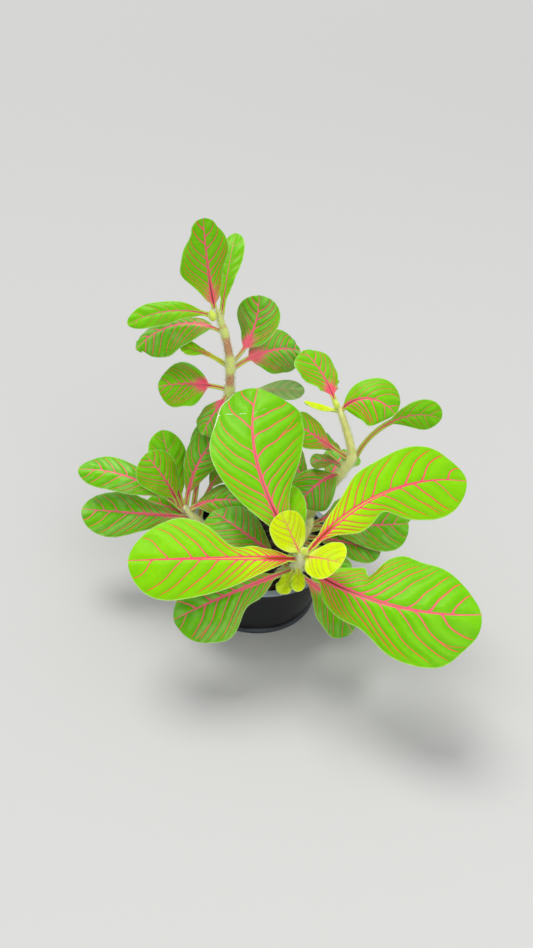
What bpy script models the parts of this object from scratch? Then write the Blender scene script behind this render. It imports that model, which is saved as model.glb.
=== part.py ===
"""A young nerve plant in its grower's pot: a squat tapered plastic pot, its potting mix, five stems and
the leaves that they carry in crossed pairs.

The origin is the middle of the pot's flat base. +Z is up, the front of the plant faces -Y.
Lengths are in millimetres in the tables and become metres through MM. Angles are in degrees.
"""

import math
from typing import NamedTuple

import bmesh
import bpy
from mathutils import Matrix, Vector

MM = 0.001
GAP = 0.3  # between two pieces that touch
LEAF_GAP = 0.6  # from a stem's side to the middle of a leaf's slanted end

# The pot, a turned shell with a rolled rim and a step at its foot.
RIM_RADIUS = 31.0
RIM_HEIGHT = 27.0
RIM_ROLL = 1.6  # how far the rim stands out from the wall, and how deep it is
WALL_TOP_RADIUS = 29.0
WALL_FOOT_RADIUS = 22.6
FOOT_RADIUS = 23.4
FOOT_HEIGHT = 1.8
WALL = 1.0
FLOOR = 1.6
POT_STEPS = 40
HOLE_COUNT = 4
HOLE_RADIUS = 2.2
HOLE_CIRCLE = 13.0

# The potting mix fills the pot to this height.
SOIL_TOP = 21.0
SOIL_CROWN = 0.5  # how far its edge lies below its middle

# Leaves are one blade with its winged stalk.
LEAF_STEPS = 8
LEAF_STRIPS = 4
LEAF_THICKNESS = 0.6
STALK_HALF_WIDTH = 1.0
TIP_HALF_WIDTH = 0.8
TIP_BLUNTNESS = 3.2
CUP_DEPTH = 0.6  # drop of a leaf's edge for a cup of 1, in half widths
CUP_NARROWING = 0.15
CUP_CURVE = 1.5

STEM_STEP = 5.0  # along a stem, between the rings of its tube
UPRIGHT_FOOT = 1.2  # how far a stem leaves the mix straight up


class Stem(NamedTuple):
    """A stem: its route as (x, y, z, radius) points from the soil up, and its colour."""

    name: str
    route: tuple
    colour: tuple


class Leaf(NamedTuple):
    """A leaf, seated on a stem at a height above the pot's base.

    heading is its direction seen from above, 0 along +X and 90 along +Y. rise is its slope where it
    leaves the stem, and droop is how far that slope falls by the tip. sweep turns the heading by the
    tip. roll lifts the side that is on the right of its heading. cup bends both sides down. stalk is
    the share of the length that is bare stalk, and a large taper keeps the blade narrow for longer.
    """

    name: str
    stem: str
    height: float
    heading: float
    rise: float
    droop: float
    sweep: float
    length: float
    width: float
    roll: float
    cup: float
    stalk: float
    taper: float
    tone: str


class Bud(NamedTuple):
    """A folded growing tip, seated on the end of a stem."""

    name: str
    stem: str
    radius: float
    length: float


PALE_STEM = (0.46, 0.50, 0.16)
PINK_STEM = (0.42, 0.28, 0.16)

STEMS = (
    Stem(
        "front_stem",
        ((9, -12, 21.3, 1.7), (12, -22, 31, 1.6), (14.5, -30, 41, 1.5), (15.2, -35, 51, 1.1)),
        PALE_STEM,
    ),
    Stem(
        "left_stem",
        ((-12, 2, 21.3, 1.5), (-19, 3, 27, 1.4), (-26, 4, 33, 1.3), (-30, 4, 39, 1.0)),
        PALE_STEM,
    ),
    Stem(
        "tall_stem",
        (
            (-7, 11, 21.3, 1.9),
            (-11.5, 19, 44, 1.8),
            (-14, 25.5, 70, 1.6),
            (-14, 28.5, 86, 1.4),
            (-16.5, 31, 96, 1.3),
            (-21, 33, 108, 0.9),
        ),
        PINK_STEM,
    ),
    Stem(
        "right_stem",
        ((12, 8, 21.3, 1.8), (22, 9, 38, 1.7), (33, 10, 60, 1.5), (29.5, 12.5, 70, 1.3), (25, 15, 80, 1.0)),
        PALE_STEM,
    ),
    Stem("middle_stem", ((13, -3, 21.3, 1.4), (17, -3, 31, 1.3), (19.5, -3.5, 41, 1.1)), PALE_STEM),
)

# name, stem, height, heading, rise, droop, sweep, length, width, roll, cup, stalk, taper, tone
LEAVES = (
    Leaf("front_left_leaf", "front_stem", 47, 188, 4, 12, -8, 55, 28, 28, 0.25, 0.00, 1.00, "lime"),
    Leaf("front_back_leaf", "front_stem", 49, 139, 38, 18, -60, 66, 35, 0, 0.25, 0.05, 1.00, "green"),
    Leaf("front_right_leaf", "front_stem", 50, 38, 43, 58, -18, 67, 27, -32, 0.15, 0.05, 1.05, "lime"),
    Leaf("front_near_right_leaf", "front_stem", 44, -48, 3, 0, 54, 60, 35, -28, 0.35, 0.04, 0.85, "green"),
    Leaf("front_low_left_leaf", "front_stem", 38, 213, 0, 36, -28, 44, 26, 25, 0.45, 0.14, 0.80, "deep"),
    Leaf("front_low_right_leaf", "front_stem", 34, -36, -4, 55, 10, 29, 18, -10, 0.40, 0.16, 0.80, "deep"),
    Leaf("front_young_back_leaf", "front_stem", 51, 140, 52, 5, -8, 14, 13, 0, 0.15, 0.02, 0.55, "yellow"),
    Leaf("front_young_near_leaf", "front_stem", 51, -48, 24, 15, 6, 16, 14, -25, 0.15, 0.02, 0.55, "yellow"),
    Leaf("front_sprout_left_leaf", "front_stem", 40, -121, -20, 0, 5, 14, 7, 0, 0.20, 0.10, 0.80, "lime"),
    Leaf("front_sprout_right_leaf", "front_stem", 42, -92, -24, 5, 0, 10, 5, 0, 0.20, 0.10, 0.80, "lime"),
    Leaf("front_hidden_leaf", "front_stem", 41, 98, 60, 40, -6, 28, 12, 0, 0.20, 0.15, 0.80, "lime"),
    Leaf("front_inner_leaf", "front_stem", 36, 158, 31, 44, -30, 37, 20, 10, 0.25, 0.20, 0.75, "deep"),
    Leaf("left_far_leaf", "left_stem", 34.5, 172, 40, 48, -2, 43, 14, 25, 0.40, 0.20, 0.60, "deep"),
    Leaf("left_near_leaf", "left_stem", 32.5, 192, 10, 18, -24, 41, 20, 28, 0.40, 0.12, 0.70, "deep"),
    Leaf("left_upright_leaf", "left_stem", 38.4, 158, 66, 30, -5, 22, 18, 20, 0.40, 0.10, 0.60, "green"),
    Leaf("left_back_leaf", "left_stem", 36.5, 123, 48, 10, -14, 28, 12, 0, 0.20, 0.10, 0.60, "green"),
    Leaf("left_small_leaf", "left_stem", 31, 160, 20, 25, 0, 20, 9, 20, 0.20, 0.10, 0.80, "green"),
    Leaf("left_inner_leaf", "left_stem", 36, 5, 38, 48, -14, 22, 17, -25, 0.40, 0.10, 0.80, "deep"),
    Leaf("left_tall_leaf", "left_stem", 37, 66, 76, 50, -30, 34, 16, -20, 0.30, 0.12, 0.80, "deep"),
    Leaf("left_rear_leaf", "left_stem", 33, 84, 54, 5, 0, 35, 10, 0, 0.20, 0.30, 0.70, "deep"),
    Leaf("left_stalked_leaf", "left_stem", 31, 72, 62, 22, -49, 25, 12, 0, 0.20, 0.50, 0.80, "deep"),
    Leaf("tall_top_leaf", "tall_stem", 105, 124, 66, -16, 0, 30, 19, 0, 0.20, 0.02, 0.6, "green"),
    Leaf("tall_top_rear_leaf", "tall_stem", 101, 84, 56, 30, 0, 35, 10, 10, 0.20, 0.10, 0.90, "green"),
    Leaf("tall_upper_left_leaf", "tall_stem", 102, 187, 20, 50, 8, 32, 10, 40, 0.30, 0.12, 0.70, "green"),
    Leaf("tall_drooping_leaf", "tall_stem", 97, 160, 14, 64, 40, 35, 20, 25, 0.90, 0.08, 0.60, "deep"),
    Leaf("tall_small_leaf", "tall_stem", 85, 166, 28, 25, 8, 18, 7, 20, 0.20, 0.40, 0.80, "green"),
    Leaf("tall_right_upright_leaf", "tall_stem", 87, 25, 42, -35, 60, 26, 17, 0, 0.40, 0.22, 0.60, "deep"),
    Leaf("tall_right_leaf", "tall_stem", 84, 25, 30, 60, 20, 31, 19, -45, 0.40, 0.20, 0.50, "deep"),
    Leaf("tall_left_round_leaf", "tall_stem", 76, 180, 12, 28, 0, 25, 19, 30, 0.40, 0.25, 0.45, "green"),
    Leaf("tall_low_leaf", "tall_stem", 73, -115, -40, 20, 0, 15, 13, 0, 0.40, 0.20, 0.60, "deep"),
    Leaf("tall_low_right_leaf", "tall_stem", 75, 28, 4, 8, -25, 28, 7, -60, 0.20, 0.30, 0.80, "deep"),
    Leaf("right_top_leaf", "right_stem", 79, 120, 46, 25, 20, 23, 18, 0, 0.25, 0.12, 0.70, "green"),
    Leaf("right_drooping_leaf", "right_stem", 78, -15, 60, 112, 0, 22, 20, -35, 0.30, 0.02, 0.50, "green"),
    Leaf("right_outer_leaf", "right_stem", 60, 22, 70, 95, -12, 38, 12, -70, 0.30, 0.45, 0.80, "deep"),
    Leaf("right_young_leaf", "right_stem", 78, -152, 16, 0, 4, 14, 5, 0, 0.20, 0.10, 0.80, "lime"),
    Leaf("right_long_stalk_leaf", "right_stem", 61, 190, 40, 10, -30, 24, 12, -20, 0.20, 0.30, 0.80, "deep"),
    Leaf("right_inner_leaf", "right_stem", 59, 165, 48, 34, 0, 15, 10, 0, 0.20, 0.10, 0.80, "deep"),
    Leaf("right_low_leaf", "right_stem", 56, 165, 23, 50, 20, 12, 11, 0, 0.20, 0.10, 0.80, "deep"),
    Leaf("right_hanging_leaf", "right_stem", 53, -142, 10, 65, 0, 20, 19, 20, 0.40, 0.05, 0.60, "deep"),
    Leaf("middle_upright_leaf", "right_stem", 41, 165, 50, 20, -60, 24, 12, 0, 0.30, 0.20, 0.80, "deep"),
    Leaf("middle_outer_leaf", "middle_stem", 37, 4, 2, 8, 14, 37, 21, -25, 0.40, 0.12, 0.80, "deep"),
    Leaf("middle_far_leaf", "middle_stem", 35, 24, 0, 0, -8, 42, 10, -20, 0.30, 0.50, 0.80, "green"),
    Leaf("middle_near_leaf", "middle_stem", 32, -10, 8, 34, 14, 28, 13, -20, 0.40, 0.10, 0.80, "deep"),
    Leaf("middle_low_leaf", "middle_stem", 30, -42, 10, 22, -10, 22, 10, -20, 0.40, 0.10, 0.80, "deep"),
    Leaf("middle_small_leaf", "middle_stem", 40, -27, 44, -10, 20, 18, 10, -30, 0.30, 0.10, 0.80, "deep"),
    Leaf("back_low_left_leaf", "tall_stem", 50, 88, 30, 50, 10, 27, 16, 0, 0.30, 0.20, 0.80, "deep"),
    Leaf("back_low_right_leaf", "right_stem", 42, 75, 30, 50, -10, 30, 16, 0, 0.30, 0.20, 0.80, "deep"),
    Leaf("back_mid_leaf", "tall_stem", 62, 70, 35, 45, 0, 26, 14, 0, 0.30, 0.20, 0.80, "deep"),
)

BUDS = (
    Bud("front_bud", "front_stem", 1.3, 4.0),
    Bud("tall_bud", "tall_stem", 1.2, 4.0),
    Bud("right_bud", "right_stem", 1.1, 3.6),
)

LEAF_COLOURS = {
    "yellow": (0.52, 0.66, 0.02),
    "lime": (0.34, 0.60, 0.02),
    "green": (0.16, 0.42, 0.02),
    "deep": (0.07, 0.26, 0.02),
}
BUD_COLOUR = (0.50, 0.60, 0.10)
POT_COLOUR = (0.012, 0.013, 0.015)
SOIL_COLOUR = (0.035, 0.022, 0.014)


def clear_scene():
    """Remove whatever the scene already holds."""
    for obj in list(bpy.data.objects):
        bpy.data.objects.remove(obj)


def make_collection(name, hidden=False):
    """A new collection in the scene; a hidden one is left out of renders."""
    collection = bpy.data.collections.new(name)
    collection.hide_render = hidden
    bpy.context.scene.collection.children.link(collection)
    return collection


def make_material(name, colour, roughness):
    """A plain plastic, soil or plant surface."""
    material = bpy.data.materials.new(name)
    material.use_nodes = True
    shader = material.node_tree.nodes["Principled BSDF"]
    shader.inputs["Base Color"].default_value = (*colour, 1)
    shader.inputs["Roughness"].default_value = roughness
    shader.inputs["Metallic"].default_value = 0
    material.diffuse_color = (*colour, 1)
    return material


def add_object(name, data, collection, material=None):
    """Put a mesh or curve into a collection under the node's name."""
    obj = bpy.data.objects.new(name, data)
    collection.objects.link(obj)
    if material is not None:
        data.materials.append(material)
    return obj


def mesh_from(bm, name):
    """Turn a bmesh into a smooth-shaded mesh."""
    mesh = bpy.data.meshes.new(name)
    bm.to_mesh(mesh)
    bm.free()
    mesh.shade_smooth()
    return mesh


def turned(name, profile, collection, material):
    """A solid of revolution from (radius, height) points, from the axis over the top and back to it."""
    bm = bmesh.new()
    points = [bm.verts.new((radius * MM, 0, height * MM)) for radius, height in profile]
    for first, second in zip(points, points[1:]):
        bm.edges.new((first, second))
    obj = add_object(name, mesh_from(bm, name), collection, material)
    screw = obj.modifiers.new("turn", "SCREW")
    screw.steps = POT_STEPS
    screw.render_steps = POT_STEPS
    screw.use_merge_vertices = True
    screw.merge_threshold = 0.00001
    return obj


def wall_radius(height):
    """Outer radius of the pot's tapered wall."""
    share = (height - FOOT_HEIGHT) / (RIM_HEIGHT - FOOT_HEIGHT)
    return WALL_FOOT_RADIUS + share * (WALL_TOP_RADIUS - WALL_FOOT_RADIUS)


def make_pot(collection, cutters):
    """The pot: thin wall, rolled rim, stepped foot and drainage holes."""
    roll = RIM_ROLL
    profile = [(0, FLOOR), (wall_radius(FLOOR) - WALL, FLOOR)]
    profile.append((WALL_TOP_RADIUS - WALL, RIM_HEIGHT - 0.4))
    profile.append((WALL_TOP_RADIUS - 0.5 * WALL, RIM_HEIGHT))
    profile.append((RIM_RADIUS - 0.5 * roll, RIM_HEIGHT))
    profile.append((RIM_RADIUS, RIM_HEIGHT - 0.4 * roll))
    profile.append((RIM_RADIUS, RIM_HEIGHT - roll))
    profile.append((wall_radius(RIM_HEIGHT - roll), RIM_HEIGHT - roll))
    profile.append((WALL_FOOT_RADIUS, FOOT_HEIGHT))
    profile.append((FOOT_RADIUS, FOOT_HEIGHT - 0.5))
    profile.append((FOOT_RADIUS, 0.4))
    profile.append((FOOT_RADIUS - 0.4, 0))
    profile.append((0, 0))
    pot = turned("pot", profile, collection, make_material("black_plastic", POT_COLOUR, 0.35))
    for index in range(HOLE_COUNT):
        angle = math.tau * (index + 0.5) / HOLE_COUNT
        place = Vector((math.cos(angle), math.sin(angle), 0)) * HOLE_CIRCLE * MM
        bm = bmesh.new()
        bmesh.ops.create_cone(
            bm,
            cap_ends=True,
            segments=16,
            radius1=HOLE_RADIUS * MM,
            radius2=HOLE_RADIUS * MM,
            depth=4 * FLOOR * MM,
            matrix=Matrix.Translation(place),
        )
        cutter = add_object(f"drain_cutter_{index + 1}", mesh_from(bm, "drain_cutter"), cutters)
        cutter.hide_render = True
        cutter.display_type = "WIRE"
        cut = pot.modifiers.new(f"drain_{index + 1}", "BOOLEAN")
        cut.operation = "DIFFERENCE"
        cut.object = cutter
    return pot


def make_soil(collection):
    """The potting mix, a low crowned plug that clears the pot all round."""
    bottom = FLOOR + GAP
    edge = SOIL_TOP - SOIL_CROWN
    bottom_radius = wall_radius(bottom) - WALL - GAP
    top_radius = wall_radius(edge) - WALL - GAP
    profile = [(0, SOIL_TOP), (0.7 * top_radius, SOIL_TOP), (top_radius, edge), (bottom_radius, bottom)]
    profile.append((0, bottom))
    return turned("potting_mix", profile, collection, make_material("potting_mix", SOIL_COLOUR, 0.95))


def stem_at(stem, height):
    """Centre and radius of a stem at a height, from its route."""
    for low, high in zip(stem.route, stem.route[1:]):
        if height <= high[2]:
            break
    share = (height - low[2]) / (high[2] - low[2])
    values = [a + share * (b - a) for a, b in zip(low, high)]
    return Vector(values[:3]), values[3]


def make_stem(stem, collection):
    """A stem: a round tube that narrows towards its tip."""
    bottom = stem.route[0][2]
    top = stem.route[-1][2]
    count = round((top - bottom) / STEM_STEP)
    heights = [bottom + (top - bottom) * index / count for index in range(count + 1)]
    places = [stem_at(stem, height) for height in heights]
    upright = places[0][0] + Vector((0, 0, UPRIGHT_FOOT))
    places.insert(1, (upright, places[0][1]))
    curve = bpy.data.curves.new(stem.name, "CURVE")
    curve.dimensions = "3D"
    curve.bevel_depth = MM
    curve.bevel_resolution = 2
    curve.use_fill_caps = True
    spline = curve.splines.new("POLY")
    spline.points.add(len(places) - 1)
    for point, (centre, radius) in zip(spline.points, places):
        point.co = (*(centre * MM), 1)
        point.radius = radius
    return add_object(stem.name, curve, collection, make_material(stem.name, stem.colour, 0.6))


def leaf_half_width(leaf, share):
    """Half the width at a share of the length: a narrow wing, then a blade with a blunt tip."""
    along = max(0.0, (share - leaf.stalk) / (1 - leaf.stalk))
    blade = along**leaf.taper * max(0.0, 1 - along**TIP_BLUNTNESS) ** 0.6
    widest = (leaf.taper / (leaf.taper + 0.6 * TIP_BLUNTNESS)) ** (1 / TIP_BLUNTNESS)
    peak = widest**leaf.taper * (1 - widest**TIP_BLUNTNESS) ** 0.6
    least = STALK_HALF_WIDTH + (TIP_HALF_WIDTH - STALK_HALF_WIDTH) * share
    return max(least, 0.5 * leaf.width * blade / peak)


def leaf_direction(leaf, share):
    """The way the midrib runs at a share of the length."""
    heading = math.radians(leaf.heading + leaf.sweep * share)
    rise = math.radians(leaf.rise - leaf.droop * share)
    flat = math.cos(rise)
    return Vector((flat * math.cos(heading), flat * math.sin(heading), math.sin(rise)))


def leaf_frame(leaf, share):
    """The sideways and upward directions of the blade at a share of the length."""
    heading = math.radians(leaf.heading + leaf.sweep * share)
    side = Vector((math.sin(heading), -math.cos(heading), 0))
    up = side.cross(leaf_direction(leaf, share))
    turn = math.radians(leaf.roll)
    return math.cos(turn) * side + math.sin(turn) * up, math.cos(turn) * up - math.sin(turn) * side


def leaf_midrib(leaf, stem, steps):
    """Points along the midrib, starting just clear of the stem's side."""
    centre, radius = stem_at(stem, leaf.height)
    heading = math.radians(leaf.heading)
    point = centre + Vector((math.cos(heading), math.sin(heading), 0)) * (radius + LEAF_GAP)
    points = [point]
    for index in range(steps):
        point = point + leaf_direction(leaf, (index + 0.5) / steps) * leaf.length / steps
        points.append(point)
    return points


def make_leaf(leaf, stem, collection, material):
    """A leaf: a grid bent along its midrib and cupped across it, given its thickness by Solidify."""
    midrib = leaf_midrib(leaf, stem, LEAF_STEPS)
    bm = bmesh.new()
    bmesh.ops.create_grid(bm, x_segments=LEAF_STEPS, y_segments=LEAF_STRIPS, size=0.5)
    for vert in bm.verts:
        step = round((vert.co.x + 0.5) * LEAF_STEPS)
        across = -2 * vert.co.y
        share = step / LEAF_STEPS
        side, up = leaf_frame(leaf, share)
        half = leaf_half_width(leaf, share)
        reach = across * half * (1 - CUP_NARROWING * leaf.cup)
        drop = CUP_DEPTH * leaf.cup * half * abs(across) ** CUP_CURVE
        vert.co = (midrib[step] + side * reach - up * drop) * MM
    obj = add_object(leaf.name, mesh_from(bm, leaf.name), collection, material)
    solid = obj.modifiers.new("blade", "SOLIDIFY")
    solid.thickness = LEAF_THICKNESS * MM
    solid.offset = 0
    return obj


def make_bud(bud, stem, collection, material):
    """A growing tip: a slim rounded bud in line with the end of its stem."""
    below, _ = stem_at(stem, stem.route[-1][2] - 2)
    end = Vector(stem.route[-1][:3])
    along = (end - below).normalized()
    centre = end + along * (GAP + 0.5 * bud.length)
    turn = along.to_track_quat("Z", "Y").to_matrix().to_4x4()
    size = Matrix.Diagonal((bud.radius * MM, bud.radius * MM, 0.5 * bud.length * MM, 1))
    bm = bmesh.new()
    bmesh.ops.create_uvsphere(
        bm, u_segments=8, v_segments=6, radius=1, matrix=Matrix.Translation(centre * MM) @ turn @ size
    )
    return add_object(bud.name, mesh_from(bm, bud.name), collection, material)


def main():
    """Build the potted plant."""
    clear_scene()
    plant = make_collection("potted_nerve_plant")
    cutters = make_collection("cutters", hidden=True)
    make_pot(plant, cutters)
    make_soil(plant)
    stems = {stem.name: stem for stem in STEMS}
    for stem in STEMS:
        make_stem(stem, plant)
    for leaf in LEAVES:
        material = make_material(leaf.name, LEAF_COLOURS[leaf.tone], 0.4)
        make_leaf(leaf, stems[leaf.stem], plant, material)
    for bud in BUDS:
        make_bud(bud, stems[bud.stem], plant, make_material(bud.name, BUD_COLOUR, 0.5))


main()
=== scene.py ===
"""The looks of a potted nerve plant: fine leaves, stems, growing tips, potting mix and pot.

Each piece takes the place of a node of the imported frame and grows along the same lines. Lengths in the
tables are millimetres, with the origin in the middle of the pot's base, +Z up and the front at -Y.
Angles are degrees. MM turns a length into the scene's metres.
"""

from __future__ import annotations

import logging
import math
from dataclasses import dataclass, field
from enum import Enum
from typing import Any

import bmesh
import bpy
import numpy as np
from mathutils import Matrix, Vector, noise


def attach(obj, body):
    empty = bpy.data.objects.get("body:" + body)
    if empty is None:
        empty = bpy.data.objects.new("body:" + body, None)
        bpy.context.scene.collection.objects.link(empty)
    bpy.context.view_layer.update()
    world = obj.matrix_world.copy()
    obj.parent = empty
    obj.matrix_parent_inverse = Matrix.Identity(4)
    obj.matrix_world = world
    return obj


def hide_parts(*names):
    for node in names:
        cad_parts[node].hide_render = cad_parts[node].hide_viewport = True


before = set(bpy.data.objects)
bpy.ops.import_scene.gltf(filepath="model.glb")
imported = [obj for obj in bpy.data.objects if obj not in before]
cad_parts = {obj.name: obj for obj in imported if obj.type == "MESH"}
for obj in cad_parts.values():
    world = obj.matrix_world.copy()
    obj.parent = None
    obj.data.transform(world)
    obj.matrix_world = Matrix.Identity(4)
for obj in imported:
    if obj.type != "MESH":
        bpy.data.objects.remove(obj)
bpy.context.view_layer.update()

LOG = logging.getLogger("nerve_plant")
MM = 0.001
BODY = "root"

LEAF_GAP = 0.6  # from a stem's side to the start of a leaf
TIP_BLUNTNESS = 3.2
STALK_HALF_WIDTH = 1.0
TIP_HALF_WIDTH = 0.12
CUP_DEPTH = 0.6  # drop of a leaf's edge for a cup of 1, in half widths
CUP_NARROWING = 0.15
CUP_CURVE = 1.5


def linear(hex_colour: str) -> tuple[float, float, float, float]:
    """Turn an sRGB hex colour into linear light.

    Args:
        hex_colour: a colour such as "#7fbf1a".

    Returns:
        Red, green, blue and alpha, each from 0 to 1.
    """
    parts = [int(hex_colour[start : start + 2], 16) / 255 for start in (1, 3, 5)]
    curved = [part / 12.92 if part <= 0.04045 else ((part + 0.055) / 1.055) ** 2.4 for part in parts]
    return (*curved, 1.0)


def per_mm(size: float) -> float:
    """The texture scale at which one feature of a noise is this many millimetres across."""
    return 1 / (size * MM)


def add_node(
    tree: bpy.types.NodeTree,
    kind: str,
    settings: dict[str, Any] | None = None,
    inputs: dict[str | int, Any] | None = None,
) -> bpy.types.NodeSocket:
    """Add a shader node, set it up and link what feeds it.

    Args:
        tree: the material's node tree.
        kind: the node's type without its ShaderNode prefix.
        settings: the node's properties.
        inputs: socket names or numbers, each with a value or with the output that feeds it.

    Returns:
        The node's first output in use.
    """
    node = tree.nodes.new("ShaderNode" + kind)
    for name, value in (settings or {}).items():
        setattr(node, name, value)
    for key, value in (inputs or {}).items():
        if isinstance(key, int):
            socket = node.inputs[key]
        else:
            socket = next(item for item in node.inputs if item.name == key and item.enabled)
        if isinstance(value, bpy.types.NodeSocket):
            tree.links.new(value, socket)
        else:
            socket.default_value = value
    return next((item for item in node.outputs if item.enabled), None)


def new_material(name: str) -> bpy.types.Material:
    """A material with an empty node tree."""
    material = bpy.data.materials.new(name)
    material.use_nodes = True
    material.node_tree.nodes.clear()
    return material


def parts_of(tree: bpy.types.NodeTree, name: str) -> list[bpy.types.NodeSocket]:
    """The three parts of a mesh attribute."""
    vector = add_node(tree, "Attribute", {"attribute_name": name}).node.outputs["Vector"]
    return list(add_node(tree, "SeparateXYZ", None, {0: vector}).node.outputs)


def masks_of(tree: bpy.types.NodeTree, table: dict[str, tuple]) -> dict[str, bpy.types.NodeSocket]:
    """Turn values into soft-edged masks.

    Args:
        tree: the material's node tree.
        table: for each mask its value, where it is nothing, where it is full and how strong it is there.

    Returns:
        The masks by name.
    """
    masks = {}
    for name, (value, nothing, full, strength) in table.items():
        limits = {"Value": value, "From Min": nothing, "From Max": full, "To Max": strength}
        masks[name] = add_node(tree, "MapRange", {"interpolation_type": "SMOOTHSTEP"}, limits)
    return masks


def lay(
    tree: bpy.types.NodeTree, ground: Any, layers: list[tuple[bpy.types.NodeSocket | float, Any]]
) -> bpy.types.NodeSocket:
    """Lay colours over a ground.

    Args:
        tree: the material's node tree.
        ground: the lowest colour.
        layers: a mask and a colour for each layer, the lowest first.

    Returns:
        The colour that shows.
    """
    colour = ground
    for mask, tint in layers:
        tint = linear(tint) if isinstance(tint, str) else tint
        colour = add_node(tree, "Mix", {"data_type": "RGBA"}, {"Factor": mask, "A": colour, "B": tint})
    return colour


def combine(tree: bpy.types.NodeTree, operation: str, *values: Any) -> bpy.types.NodeSocket:
    """The outcome of one sum on sockets or numbers."""
    return add_node(tree, "Math", {"operation": operation}, dict(enumerate(values)))


def smooth_step(values: np.ndarray, start: float, end: float) -> np.ndarray:
    """Rise smoothly from 0 at start to 1 at end, or fall where start is the larger."""
    share = np.clip((values - start) / (end - start), 0, 1)
    return share * share * (3 - 2 * share)


def unit(vectors: np.ndarray) -> np.ndarray:
    """The same vectors, each one long."""
    return vectors / np.maximum(np.linalg.norm(vectors, axis=-1, keepdims=True), 1e-9)


class Domain(Enum):
    """What a mesh attribute belongs to."""

    POINT = "POINT"
    CORNER = "CORNER"


@dataclass
class Draft:
    """Points, faces, material slots and attributes that build up into one mesh, in millimetres."""

    points: list[np.ndarray] = field(default_factory=list)
    faces: list[tuple[int, ...]] = field(default_factory=list)
    slots: list[int] = field(default_factory=list)
    data: dict[tuple[str, Domain], list[np.ndarray]] = field(default_factory=dict)
    count: int = 0

    def add(
        self,
        points: np.ndarray,
        faces: list[tuple[int, ...]],
        slot: int = 0,
        data: dict[tuple[str, Domain], np.ndarray] | None = None,
    ) -> None:
        """Add some faces and their points.

        Args:
            points: their places.
            faces: each face's corners, as numbers of these points.
            slot: the material slot that the faces use.
            data: what each attribute holds for the points or corners.
        """
        self.points.append(points)
        self.faces.extend(tuple(index + self.count for index in face) for face in faces)
        self.slots.extend([slot] * len(faces))
        self.count += len(points)
        corners = sum(len(face) for face in faces)
        for key in list(self.data) + [key for key in (data or {}) if key not in self.data]:
            if key not in self.data:
                raise ValueError(f"declare attribute {key[0]} first")
            size = len(points) if key[1] is Domain.POINT else corners
            values = (data or {}).get(key)
            self.data[key].append(np.zeros((size, 3)) if values is None else values)

    def to_object(
        self, name: str, materials: list[bpy.types.Material], sharp: float = 60
    ) -> bpy.types.Object:
        """Make the mesh and put it into the scene.

        Args:
            name: the piece's name.
            materials: one for each slot.
            sharp: the angle, in degrees, above which an edge is not shaded smooth.

        Returns:
            The new object.
        """
        mesh = bpy.data.meshes.new(name)
        places = np.concatenate(self.points) * MM
        mesh.from_pydata(places.tolist(), [], self.faces)
        for material in materials:
            mesh.materials.append(material)
        mesh.polygons.foreach_set("material_index", self.slots)
        for (label, domain), values in self.data.items():
            attribute = mesh.attributes.new(label, "FLOAT_VECTOR", domain.value)
            attribute.data.foreach_set("vector", np.concatenate(values).astype(np.float32).ravel())
        mesh.shade_smooth()
        mesh.set_sharp_from_angle(angle=math.radians(sharp))
        piece = bpy.data.objects.new(name, mesh)
        bpy.context.scene.collection.objects.link(piece)
        return piece


def grid_faces(rows: int, columns: int, closed: bool = False, first: int = 0) -> list[tuple[int, ...]]:
    """The faces of a grid of points laid out row by row.

    Args:
        rows: how many rows of points.
        columns: how many points in a row.
        closed: whether each row is a ring.
        first: the number of the grid's first point.

    Returns:
        Four corners for each face.
    """
    faces = []
    for row in range(rows - 1):
        for column in range(columns if closed else columns - 1):
            right = (column + 1) % columns
            low = first + row * columns
            faces.append((low + column, low + right, low + columns + right, low + columns + column))
    return faces


def settle(piece: bpy.types.Object, node: str) -> None:
    """Seat a finished piece in the frame.

    Args:
        piece: the new piece.
        node: the frame's node that it stands for.
    """
    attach(piece, BODY)
    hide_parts(node)
    LOG.info("%s stands for %s, %d faces", piece.name, node, len(piece.data.polygons))


# ---------------------------------------------------------------------------------------------------
# Finishes
# ---------------------------------------------------------------------------------------------------


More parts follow.
